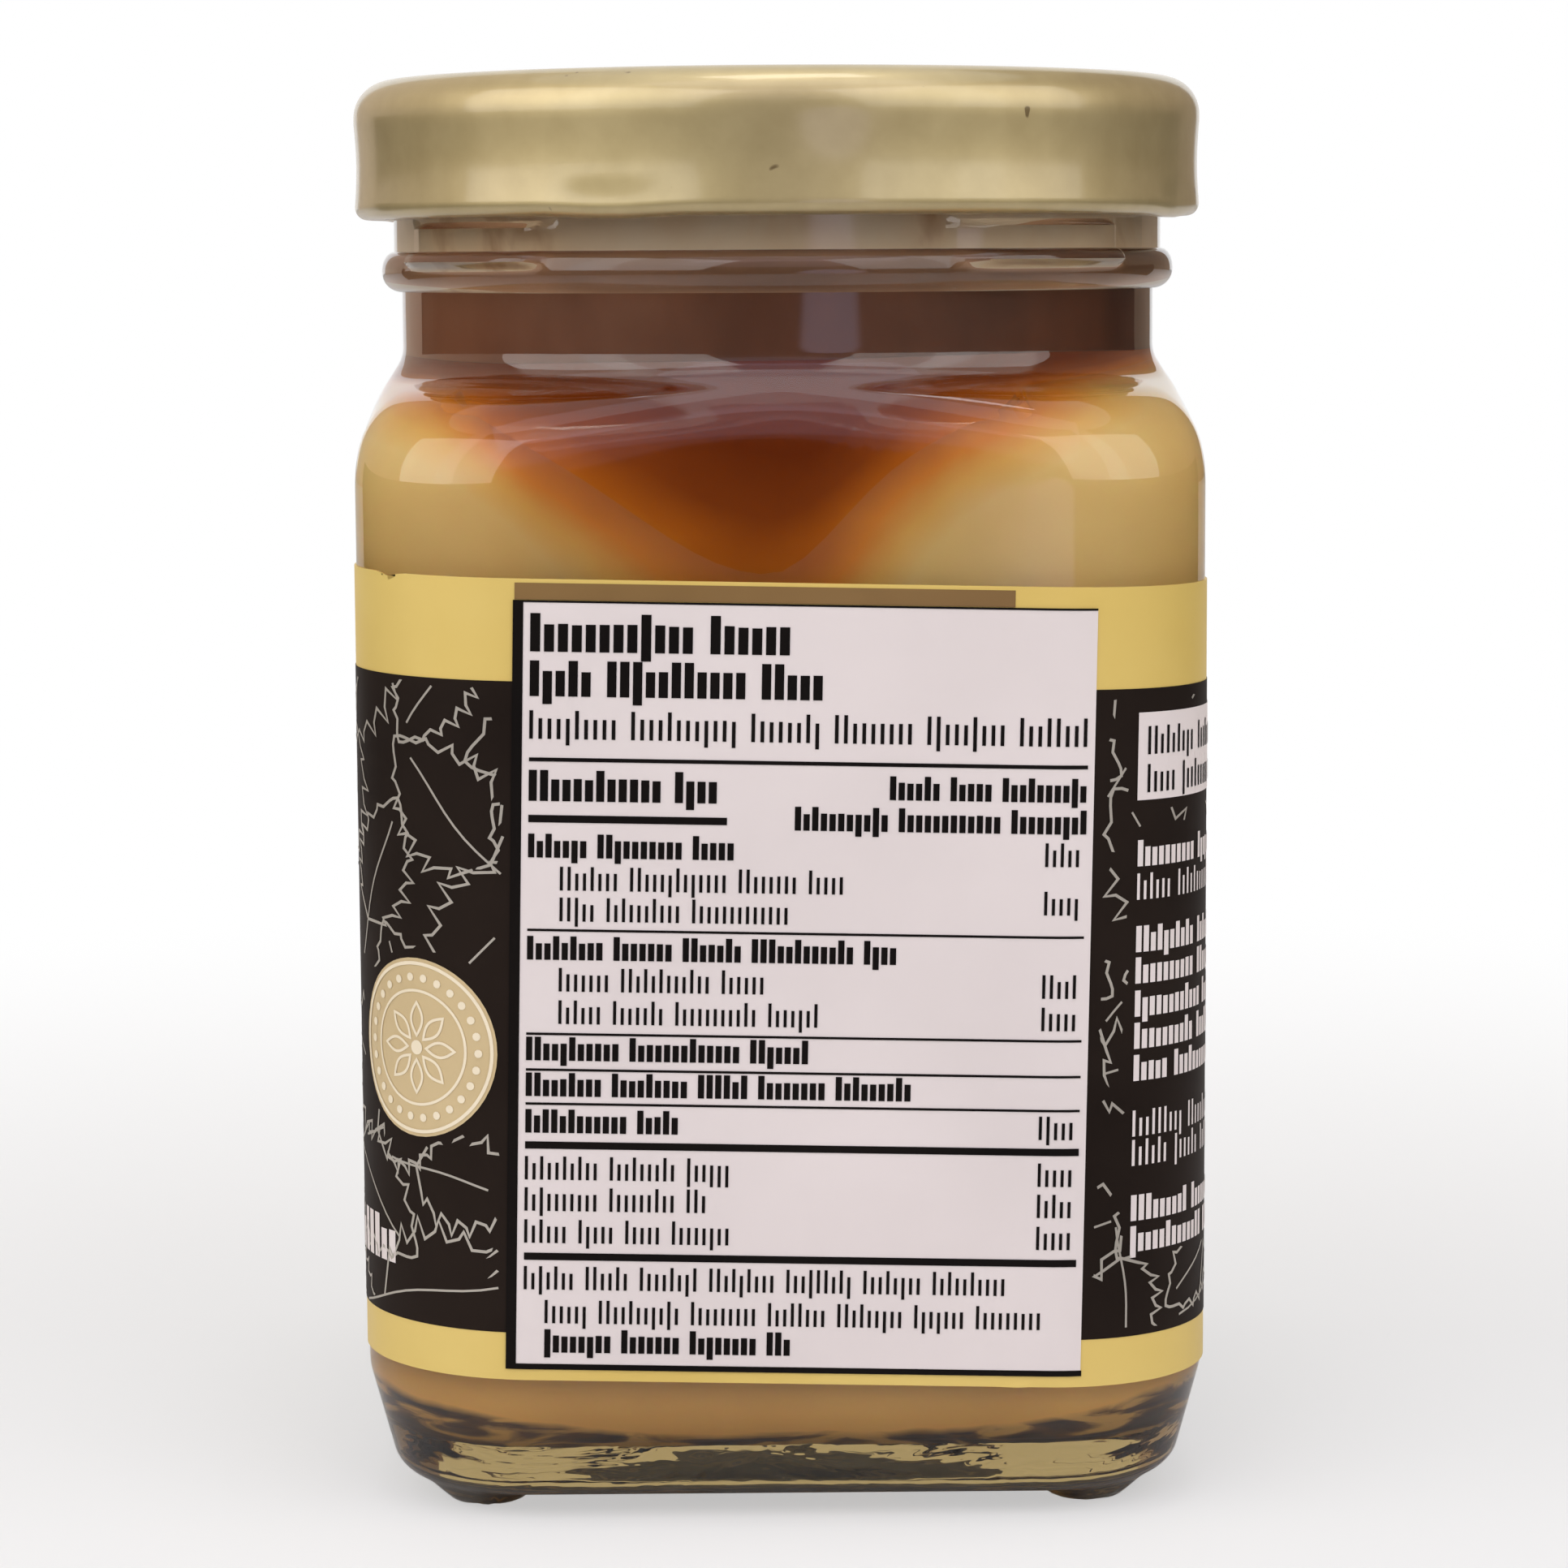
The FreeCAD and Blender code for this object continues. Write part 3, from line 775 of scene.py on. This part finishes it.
# left, right, bottom and top of other print, which no leaf crosses
CLEAR_AREAS = ((PANEL_LEFT - 1.0, PANEL_RIGHT + 0.6, FIELD_BOTTOM, FIELD_TOP),
               (BOX_LEFT - 0.5, BOX_RIGHT + 0.5, 10.3, 16.2), (19.6, 41, -15.3, 8.8))


def pattern_allowed(u, v):
    """Where the leaf pattern may be printed."""
    across = LABEL_START + 0.5 < u < LABEL_END - 0.5
    up = FIELD_BOTTOM + 0.15 < v < FIELD_TOP - 0.15
    crossing = any(left < u < right and bottom < v < top
                   for left, right, bottom, top in CLEAR_AREAS)
    on_seal = math.hypot(u - SEAL_U, v - SEAL_V) < SEAL_RADIUS + 0.4
    on_plaque = math.hypot((u - PLAQUE_U) / 1.25, v - PLAQUE_V) < 11.2
    return across and up and not (crossing or on_seal or on_plaque)


def mirrored(side):
    """A closed outline from its upper side."""
    return side + [(along, -out) for along, out in reversed(side[1:-1])]


def placed(points, u, v, cosine, sine):
    return [(u + x * cosine - y * sine, v + x * sine + y * cosine) for x, y in points]


def leaf_outline(u, v, length, heading):
    """A pointed leaf with a toothed edge, and its middle vein with a stalk."""
    side = []
    for tooth in range(LEAF_TEETH):
        for along, out in ((0.0, 0.86), (0.55, 1.0), (0.8, 1.22)):
            share = (tooth + along) / LEAF_TEETH
            width = 0.34 * length * math.sin(math.pi * share ** 0.75) ** 0.85
            side.append((share * length, width * out))
    side.append((length, 0.0))
    outline = mirrored(side)
    vein = [(along * length, 0.02 * length * math.sin(6 * along))
            for along in spread(-0.28, 0.82, 12)]
    cosine = math.cos(heading)
    sine = math.sin(heading)
    return [placed([(x - length / 2, y) for x, y in points], u, v, cosine, sine)
            for points in (outline, vein)]


def leaf_pattern(ink):
    dice = random.Random(5)
    spots = []
    for attempt in range(LEAF_ATTEMPTS):
        u = dice.uniform(LABEL_START + 2, OVERLAP_START + 5)
        v = dice.uniform(FIELD_BOTTOM, FIELD_TOP)
        length = dice.uniform(6.5, 11.0)
        if not any(pattern_allowed(u + shift, v) for shift in (-3, 0, 3)):
            continue
        if all(math.hypot(u - other_u, v - other_v) > (length + other) * LEAF_SPACING
               for other_u, other_v, other in spots):
            spots.append((u, v, length))
            outline, vein = leaf_outline(u, v, length, dice.uniform(0, 2 * math.pi))
            ink.ribbon(outline, 0.17, closed=True, keep=pattern_allowed)
            ink.ribbon(vein, 0.13, keep=pattern_allowed)


def seal_print(base, lines):
    """A round seal with rings, beads and a plain rosette."""
    base.disc(SEAL_U, SEAL_V, SEAL_RADIUS)
    for radius, width in ((4.85, 0.2), (3.28, 0.16)):
        lines.ribbon(ellipse(SEAL_U, SEAL_V, radius, radius, 72), width, closed=True)
    for u, v in ellipse(SEAL_U, SEAL_V, 4.05, 4.05, 26):
        lines.disc(u, v, 0.24, 10)
    side = [(0.7 + 1.9 * share, 0.42 * math.sin(math.pi * share)) for share in spread(0, 1, 13)]
    for cosine, sine in ellipse(0, 0, 1, 1, 8):
        lines.ribbon(placed(mirrored(side), SEAL_U, SEAL_V, cosine, sine), 0.16, closed=True)
    lines.disc(SEAL_U, SEAL_V, 0.42, 16)


def plaque_print(base, lines):
    """A plain oval plaque with two rings and three leaves on the left side of the jar."""
    for inset, width, target in ((0, 0.5, base), (1, 0.18, lines)):
        half_width = PLAQUE_HALF_WIDTH - inset
        frame_line = ellipse(PLAQUE_U, PLAQUE_V, half_width, half_width - 2.6, 96)
        target.ribbon(frame_line, width, closed=True)
    for number in (-1, 0, 1):
        outline, vein = leaf_outline(PLAQUE_U + 5.2 * number, PLAQUE_V + 2.2 - 1.2 * abs(number), 8.0,
                                     math.radians(90 - 28 * number))
        lines.ribbon(outline, 0.2, closed=True)
        lines.ribbon(vein, 0.16)
    for half, bottom, top in ((6.5, -5.3, -4.6), (4.2, -6.7, -6.2)):
        base.box(PLAQUE_U - half, PLAQUE_U + half, PLAQUE_V + bottom, PLAQUE_V + top)


def side_print(white, black):
    """Black rows on the white box, and white rows right and left of the panel."""
    dice = random.Random(23)
    for base, end in ((13.35, 44.5), (11.2, 43.0)):
        blank_line(black, dice, BOX_LEFT + 0.7, end, base, 1.6, False)
    rows = ((7.0, 34, True), (5.1, 40, False), (2.1, 30, True), (0.3, 38, True), (-1.6, 39.5, True),
            (-3.45, 36, True), (-5.3, 38, True), (-8.5, 37, False), (-10.2, 36.5, False),
            (-13.4, 38, True), (-15.2, 40, True))
    for base, end, bold in rows:
        blank_line(white, dice, 20.1, end, base, 1.5, bold)
    blank_line(white, dice, -30.5, -22.4, -17.0, 2.6, True)


def paper_mesh():
    """The paper band itself, with its thickness, a nick and a lifted crease."""
    columns = 300
    half = LABEL_HEIGHT / 2
    heights = [-half, -half + 0.2, -half + 0.45] + spread(-half + 1, half - 1, 15)
    heights += [half - 0.45, half - 0.2, half]
    rows = len(heights) - 1
    vertices = []
    for level in (0.0, LABEL_THICKNESS):
        for u in spread(LABEL_START, LABEL_END, columns + 1):
            for v in heights:
                if v == half:
                    v -= 0.45 * math.exp(-((u + 23.6) / 0.5) ** 2)
                crease = 0.22 * math.exp(-((u - 13.6 - 0.5 * (v + 22.5)) / 0.45) ** 2)
                crease *= smooth(0.5, 0.1, v + half)
                vertices.append(on_label(u, v, level + crease))
    high = (columns + 1) * (rows + 1)

    def at(column, row, layer):
        return layer * high + column * (rows + 1) + row

    faces = []
    for column in range(columns):
        for row in range(rows):
            corners = [(column, row), (column + 1, row), (column + 1, row + 1), (column, row + 1)]
            faces.append([at(*corner, 1) for corner in corners])
            faces.append([at(*corner, 0) for corner in reversed(corners)])
    edges = [((column, row), (column + 1, row), layer)
             for column in range(columns) for row, layer in ((0, 0), (rows, 1))]
    edges += [((column, row), (column, row + 1), layer)
              for row in range(rows) for column, layer in ((0, 1), (columns, 0))]
    for start, end, layer in edges:
        faces.append([at(*start, layer), at(*end, layer),
                      at(*end, 1 - layer), at(*start, 1 - layer)])
    return vertices, faces


# --- materials ---
class Graph:
    """A node tree and short ways to add nodes to it."""

    def __init__(self, owner):
        owner.use_nodes = True
        self.nodes = owner.node_tree.nodes
        self.links = owner.node_tree.links

    def fill(self, node, sockets):
        """Sets or links sockets, given by number or by name."""
        for key, value in sockets.items():
            socket = node.inputs[key.replace("_", " ") if isinstance(key, str) else key]
            if isinstance(value, bpy.types.NodeSocket):
                self.links.new(value, socket)
            else:
                socket.default_value = value

    def add(self, kind, numbered=(), **values):
        """A new node; each value is an attribute of it, or else a socket."""
        node = self.nodes.new(kind)
        for key in [key for key in values if hasattr(node, key)]:
            setattr(node, key, values.pop(key))
        self.fill(node, {**dict(numbered), **values})
        return node

    def math(self, operation, *values, clamp=False):
        node = self.add("ShaderNodeMath", enumerate(values), operation=operation, use_clamp=clamp)
        return node.outputs[0]

    def fade(self, value, start, end, low=0.0, high=1.0, kind="SMOOTHSTEP"):
        """Goes from low to high while value goes from start to end."""
        node = self.add("ShaderNodeMapRange", interpolation_type=kind, Value=value,
                        From_Min=start, From_Max=end, To_Min=low, To_Max=high)
        return node.outputs["Result"]


class Material(Graph):
    """A Principled material, with patterns in the object's own coordinates."""

    def __init__(self, name, **values):
        self.material = bpy.data.materials.new(name)
        super().__init__(self.material)
        self.shader = self.nodes["Principled BSDF"]
        self.fill(self.shader, values)
        self.place = self.add("ShaderNodeTexCoord").outputs["Object"]

    def noise(self, scale, detail=3.0, stretch=None, distortion=0.0):
        source = self.place
        if stretch:
            source = self.add("ShaderNodeMapping", Vector=source, Scale=stretch).outputs["Vector"]
        node = self.add("ShaderNodeTexNoise", Scale=scale, Detail=detail, Distortion=distortion,
                        Vector=source)
        return node.outputs["Fac"]

    def ramp(self, value, *stops):
        """Colours at positions, each with 8-bit values of red, green and blue."""
        node = self.add("ShaderNodeValToRGB", Fac=value)
        elements = node.color_ramp.elements
        while len(elements) < len(stops):
            elements.new(0.5)
        for element, (position, colour) in zip(elements, stops):
            element.position = position
            element.color = srgb(*colour)
        return node.outputs["Color"]

    def mix(self, share, first, second, blend="MIX"):
        node = self.add("ShaderNodeMix", {0: share, 6: first, 7: second}, data_type="RGBA",
                        blend_type=blend)
        return node.outputs[2]

    def axis(self, name):
        return self.add("ShaderNodeSeparateXYZ", Vector=self.place).outputs[name]

    def distance(self, middle, scale):
        """How far each place is from middle, with each axis scaled."""
        value = self.place
        for operation, vector in (("SUBTRACT", middle), ("MULTIPLY", scale), ("LENGTH", None)):
            numbered = {0: value} if vector is None else {0: value, 1: vector}
            node = self.add("ShaderNodeVectorMath", numbered, operation=operation)
            value = node.outputs[0]
        return node.outputs["Value"]

    def colour(self, output):
        self.fill(self.shader, {"Base Color": output})

    def bump(self, height, strength, distance):
        node = self.add("ShaderNodeBump", Strength=strength, Distance=distance, Height=height)
        self.fill(self.shader, {"Normal": node.outputs["Normal"]})

    def vary(self, socket, value, low, high):
        self.fill(self.shader, {socket: self.fade(value, 0.0, 1.0, low, high, "LINEAR")})


def glass_material():
    made = Material("clear_glass_finish", Base_Color=(1.0, 1.0, 1.0, 1.0), Roughness=0.0, IOR=1.48,
                    Transmission_Weight=1.0)
    made.vary("Roughness", made.noise(400), 0.0, 0.012)
    rippled = made.fade(made.axis("Z"), 0.0062, 0.0038, 0.0, 2.8)
    ripples = made.noise(210, 3.0, stretch=(0.6, 0.6, 1.6), distortion=0.6)
    height = made.math("MULTIPLY_ADD", ripples, rippled, made.noise(90, 1.0))
    made.bump(height, 0.12, 0.0004)
    absorption = made.add("ShaderNodeVolumeAbsorption", Density=58.0, Color=srgb(209, 191, 118))
    made.fill(made.nodes["Material Output"], {"Volume": absorption.outputs["Volume"]})
    return made.material


BORDER_COLOURS = (
    (0.15, (124, 53, 17)), (0.34, (154, 74, 24)), (0.47, (200, 108, 30)), (0.6, (240, 150, 44)),
    (0.76, (252, 200, 104)), (0.95, (255, 221, 144)))


def border_value(made):
    """Where a point lies across the soft edge, made uneven by a cloudy pattern."""
    border = made.add("ShaderNodeAttribute", attribute_name="border").outputs["Fac"]
    cloud = made.noise(95, 2.5, distortion=0.4)
    uneven = made.math("MULTIPLY", made.math("SUBTRACT", cloud, 0.5), 0.28)
    return made.math("ADD", border, uneven)


def butter_material():
    """Tan spread, darker towards the base, with a crumpled dark line at its foot: real crumpling
    against the glass, with painted shade and painted highlights for the dark base glass and its
    glints.
    """
    made = Material("maple_butter_finish", Roughness=0.42, Subsurface_Weight=0.25,
                    Subsurface_Radius=(0.0035, 0.0018, 0.0007), Subsurface_Scale=1.0)
    tone = made.ramp(border_value(made), *BORDER_COLOURS)
    across = made.axis("X")
    edge = made.math("MULTIPLY_ADD", made.math("MULTIPLY", across, across), 5.0, 0.0048)
    ripples = made.noise(160, 3.0, stretch=(1, 1, 0.6))
    edge = made.math("ADD", edge, made.math("MULTIPLY_ADD", ripples, 0.0012, -0.0006))
    height = made.axis("Z")
    above = made.math("SUBTRACT", height, edge)
    shaded = made.math("MULTIPLY_ADD", above, 2200.0, 0.5, clamp=True)
    # Painted shade and painted highlights: a dark olive crumple with pale streaks below the wavy
    # edge, laid over the butter's real crumpling.
    crumpled_shade_glints = made.ramp(made.noise(330, 4.0, stretch=(0.5, 0.5, 2.2), distortion=1.2),
                        (0.38, (52, 34, 12)), (0.5, (104, 78, 36)), (0.6, (216, 190, 128)))
    tone = made.mix(shaded, crumpled_shade_glints, tone)
    darker = made.mix(1.0, tone, srgb(246, 220, 170), "MULTIPLY")
    tone = made.mix(made.fade(height, 0.024, 0.008), tone, darker)
    mottle = made.ramp(made.noise(60, 4.0), (0.3, (238, 230, 216)), (0.7, (255, 255, 255)))
    made.colour(made.mix(1.0, tone, mottle, "MULTIPLY"))
    made.bump(made.noise(500, 3.0), 0.08, 0.0002)
    return made.material


def syrup_material():
    made = Material("maple_syrup_finish", Roughness=0.08, IOR=1.45)
    made.colour(made.ramp(border_value(made), *BORDER_COLOURS))
    made.vary("Roughness", made.noise(300), 0.04, 0.12)
    return made.material


def film_material():
    """Brown haze: paler at the left and at the top, darker at the right."""
    made = Material("syrup_film_finish", Roughness=0.3, IOR=1.4, Alpha=0.85)
    across = made.math("MULTIPLY_ADD", made.axis("X"), 14.0, 0.5)
    cloud = made.noise(120, 4.0, stretch=(1, 1, 0.5))
    uneven = made.math("MULTIPLY", made.math("SUBTRACT", cloud, 0.5), 0.9)
    brown = made.ramp(made.math("ADD", across, uneven),
                      (0.1, (170, 116, 88)), (0.5, (136, 86, 62)), (0.9, (92, 60, 46)))
    height = made.fade(made.axis("Z"), (BEAD_Z + 0.7) * MM, (FINISH_Z - 0.2) * MM)
    made.colour(made.mix(height, brown, srgb(242, 192, 152)))
    return made.material


def smear_material():
    """Thin pale smear above the film, where the finish starts."""
    made = Material("syrup_smear_finish", Roughness=0.4, IOR=1.4, Alpha=0.95)
    streaks = made.noise(150, 4.0, stretch=(1, 1, 0.6), distortion=0.8)
    made.colour(made.ramp(streaks, (0.3, (216, 178, 140)), (0.46, (250, 224, 190)),
                          (0.7, (255, 238, 212))))
    return made.material


def lid_material(name, metallic, coat):
    made = Material(name, Metallic=metallic, Roughness=0.42, Coat_Weight=coat, Coat_Roughness=0.12)
    tone = made.ramp(made.noise(420, 5.0), (0.3, (172, 155, 110)), (0.7, (182, 165, 120)))
    specks = made.ramp(made.noise(900, 1.0), (0.2, (120, 100, 70)), (0.24, (255, 255, 255)))
    made.colour(made.mix(0.8, tone, specks, "MULTIPLY"))
    made.vary("Roughness", made.noise(120, 3.0), 0.38, 0.46)
    made.bump(made.noise(1400, 2.0), 0.1, 0.00006)
    return made.material


def paper_material(name, dark, light, metallic, roughness, gloss=0.5):
    made = Material(name, Metallic=metallic, Specular_IOR_Level=gloss)
    made.colour(made.ramp(made.noise(70, 3.0), (0.3, dark), (0.7, light)))
    made.vary("Roughness", made.noise(200), roughness - 0.04, roughness + 0.05)
    made.bump(made.noise(900, 3.0), 0.1, 0.00004)
    return made.material


def floor_material():
    """Pale floor that turns to plain white further out for the camera."""
    made = Material("studio_floor", Roughness=0.85)
    made.colour(made.ramp(made.noise(6, 2.0), (0.3, FLOOR_DARK), (0.7, FLOOR_LIGHT)))
    white_share = made.fade(made.distance((0, 0, 0), (1, 1, 1)), 0.06, 0.22, 0.5)
    seen = made.add("ShaderNodeLightPath").outputs["Is Camera Ray"]
    white = made.add("ShaderNodeEmission", Strength=1.0)
    share = made.math("MULTIPLY", white_share, seen)
    both = made.add("ShaderNodeMixShader",
                    {0: share, 1: made.shader.outputs[0], 2: white.outputs[0]})
    made.fill(made.nodes["Material Output"], {"Surface": both.outputs[0]})
    return made.material


def glow_card_material(name, middle, fall, full, strength):
    """A dark card with a soft pale violet glow round its middle."""
    made = Material(name, Roughness=0.9, Emission_Color=(0.8, 0.74, 1.0, 1.0))
    made.colour(made.ramp(made.noise(8), (0.3, (24, 22, 22)), (0.7, (34, 31, 30))))
    glow = made.fade(made.distance(middle, fall), 1.0, full, 0.0, strength)
    made.fill(made.shader, {"Emission Strength": glow})
    return made.material


def side_card_material(name, dark, light):
    made = Material(name + "_finish", Roughness=0.9)
    made.colour(made.ramp(made.noise(3), (0.3, dark), (0.7, light)))
    return made.material


# --- pieces ---
def build_jar():
    rings = glass_rings()
    vertices, faces = skin(rings, (0, 0, UNDERSIDE_Z + PUSH_UP_DEPTH), (0, 0, FLOOR_Z))
    finish_piece("jar_glass", vertices, faces, glass_material(), "clear_glass", "glass_jar")


def build_contents():
    """The film and the smear above it are what syrup leaves on the neck's wall."""
    for name, mesh, material, node in (
            ("butter_fill", butter_mesh(), butter_material(), "maple_butter"),
            ("syrup_layer", syrup_mesh(), syrup_material(), "maple_syrup")):
        add_border_attribute(finish_piece(name, *mesh, material, node, node))
    turns = [2 * math.pi * index / AROUND for index in range(AROUND)]
    low = [z - 0.3 for z in edge_heights(syrup_top, 0)]
    middle = [FINISH_Z - 0.3 + 0.25 * math.sin(4 * turn + 1) for turn in turns]
    high = [FINISH_Z + 3.4 + 0.5 * math.sin(5 * turn) for turn in turns]
    for name, mesh, material in (("syrup_film", film_mesh(low, middle), film_material()),
                                 ("syrup_smear", film_mesh(middle, high), smear_material())):
        finish_piece(name, *mesh, material, "maple_syrup", "maple_syrup")


def build_lid():
    """The sunk panel has a duller lacquer than the rim and the skirt."""
    rim = lid_material("champagne_lacquer", 0.6, 0.8)
    lid = finish_piece("lid_cap", *lid_mesh(), rim, "gold_lid", "lid")
    lid.data.materials.append(lid_material("dull_champagne_lacquer", 0.3, 0.1))
    for face in lid.data.polygons:
        x, y, z = face.center
        if math.hypot(x, y) < DULL_RADIUS * MM and z > (LID_TOP_Z - DULL_DEPTH) * MM:
            face.material_index = 1


# dark and light tone, metallic, roughness and gloss of each ink
INKS = {
    "gold_print": ((220, 190, 100), (230, 203, 118), 0.2, 0.42),
    "black_print": ((26, 19, 15), (38, 30, 25), 0.0, 0.5, 0.06),
    "panel_print_white": ((220, 211, 208), (228, 219, 216), 0.0, 0.5),
    "panel_print_black": ((14, 11, 10), (22, 18, 16), 0.0, 0.5, 0.06),
    "silver_print": ((150, 144, 134), (182, 176, 164), 0.2, 0.4),
    # Dark gold for the strip above the front panel: a painted dark reflection in the glossy gold, not
    # a print colour.
    "painted_reflection_gold_print": ((128, 98, 54), (146, 114, 66), 0.2, 0.4),
    "seal_print_gold": ((200, 176, 128), (222, 200, 154), 0.25, 0.38),
    "seal_print_lines": ((238, 224, 192), (246, 234, 206), 0.1, 0.4)}
# each print's layer above the paper, and its ink
PRINTS = {
    "label_field": (1, "black_print"), "label_panel": (2, "panel_print_white"),
    "label_painted_reflection_strip": (1, "painted_reflection_gold_print"), "label_leaves": (2, "silver_print"),
    "label_seal": (2, "seal_print_gold"), "label_seal_lines": (3, "seal_print_lines"),
    "label_rows": (3, "panel_print_black"), "label_white_rows": (2, "panel_print_white")}


def build_label():
    inks = {name: paper_material(name, *look) for name, look in INKS.items()}
    finish_piece("label_band", *paper_mesh(), inks["gold_print"], "label_paper", "label")
    prints = [Print(layer) for layer, ink in PRINTS.values()]
    field, panel, reflection_strip, leaves, seal, seal_lines, rows, white_rows = prints
    field.box(LABEL_START + 0.1, LABEL_END - 0.1, FIELD_BOTTOM, FIELD_TOP)
    panel.box(PANEL_LEFT, PANEL_RIGHT, PANEL_BOTTOM, PANEL_TOP)
    panel.box(BOX_LEFT, BOX_RIGHT, BOX_BOTTOM, BOX_TOP)
    # Painted dark reflection: the strip above the panel, across the flat front, in dark gold.
    reflection_strip.box(PANEL_LEFT - 0.5, 12.5, PANEL_TOP + 0.14, LABEL_HEIGHT / 2 - 0.22)
    leaf_pattern(leaves)
    seal_print(seal, seal_lines)
    plaque_print(seal, seal_lines)
    panel_print(rows)
    side_print(white_rows, rows)
    for shapes, (name, (layer, ink)) in zip(prints, PRINTS.items()):
        finish_piece(name, shapes.vertices, shapes.faces, inks[ink], "label_paper", "label")


# --- studio ---
def stage_mesh(name, points, faces, material, seen_by_camera):
    mesh = bpy.data.meshes.new(name)
    mesh.from_pydata(points, [], faces)
    mesh.materials.append(material)
    surface = bpy.data.objects.new(name, mesh)
    bpy.context.scene.collection.objects.link(surface)
    surface.visible_camera = seen_by_camera


def curved_card(name, radius, turns, lifts, material):
    """A part of a sphere round the jar that gloss and glass see, but not the camera.

    It lies between two turns from the front and two lifts, in degrees.
    """
    points = [(radius * math.sin(turn) * math.cos(lift), -radius * math.cos(turn) * math.cos(lift),
               radius * math.sin(lift))
              for lift in spread(*map(math.radians, lifts), CARD_ROWS + 1)
              for turn in spread(*map(math.radians, turns), CARD_COLUMNS + 1)]
    across = CARD_COLUMNS + 1
    lows = [row * across + step for row in range(CARD_ROWS) for step in range(CARD_COLUMNS)]
    faces = [(low, low + 1, low + across + 1, low + across) for low in lows]
    stage_mesh(name, points, faces, material, False)


def build_cards():
    """Dark cards in front and mid-tone ones at the sides stand for a dim room."""
    cards = (
        ("low_card", 0.3, 135, 17.5, ((0.072, -0.29, 0.035), (19, 0, 16), 0.72, 1.25)),
        ("high_card", 1.7, 48, 56, ((0.0, -1.3, 0.8), (1.1, 0, 2.4), 0.7, 0.5)))
    for name, radius, turn, lift, glow in cards:
        curved_card(name, radius, (-turn, turn), (0, lift), glow_card_material(name, *glow))
    sides = (("left_card", (-160, -62), (212, 198, 182), (224, 210, 194)),
             ("right_card", (62, 160), (150, 133, 116), (162, 145, 128)))
    for name, turns, *tones in sides:
        curved_card(name, 1.72, turns, (0, 55), side_card_material(name, *tones))


def area_light(name, place, width, height, power, colour):
    light = bpy.data.lights.new(name, "AREA")
    light.shape = "RECTANGLE"
    light.size = width
    light.size_y = height
    light.energy = power
    light.color = colour
    lamp = bpy.data.objects.new(name, light)
    lamp.location = place
    aim = Vector(LAMPS_AIM) - Vector(place)
    lamp.rotation_euler = aim.to_track_quat("-Z", "Y").to_euler()
    lamp.visible_camera = False
    bpy.context.scene.collection.objects.link(lamp)


def build_world():
    """Even light at a plain level; the camera, gloss and glass see white."""
    world = bpy.data.worlds.new("studio_world")
    bpy.context.scene.world = world
    graph = Graph(world)
    path = graph.add("ShaderNodeLightPath").outputs
    seen = graph.math("MAXIMUM", path["Is Camera Ray"], path["Is Glossy Ray"])
    seen = graph.math("MAXIMUM", seen, path["Is Transmission Ray"])
    strength = graph.fade(seen, 0.0, 1.0, WORLD_LEVEL, 1.0, "LINEAR")
    graph.fill(graph.nodes["Background"], {"Strength": strength, "Color": (1, 1, 1, 1)})


def build_studio():
    signs = ((-1, -1), (1, -1), (1, 1), (-1, 1))
    corners = [(FLOOR_REACH * x, FLOOR_REACH * y, 0) for x, y in signs]
    stage_mesh("studio_floor", corners, [(0, 1, 2, 3)], floor_material(), True)
    build_cards()
    build_world()
    for lamp in LAMPS:
        area_light(*lamp)


def build_camera():
    """Seen from a little above, nearly square to the front."""
    azimuth = math.radians(CAMERA_AZIMUTH)
    place = (CAMERA_DISTANCE * math.sin(azimuth), -CAMERA_DISTANCE * math.cos(azimuth),
             CAMERA_HEIGHT)
    data = bpy.data.cameras.new("camera")
    data.sensor_width = 36
    data.lens = CAMERA_LENS
    data.clip_start = 0.01
    data.clip_end = 20
    camera = bpy.data.objects.new("camera", data)
    matrix = Matrix.Translation(place)
    for angle, axis in ((CAMERA_YAW, "Z"), (90 - CAMERA_PITCH, "X"), (CAMERA_ROLL, "Z")):
        matrix = matrix @ Matrix.Rotation(math.radians(angle), 4, axis)
    camera.matrix_world = matrix
    bpy.context.scene.collection.objects.link(camera)
    bpy.context.scene.camera = camera


build_camera()
build_jar()
build_contents()
build_lid()
build_label()
build_studio()
bpy.context.scene.view_settings.view_transform = "Standard"

bpy.context.view_layer.update()
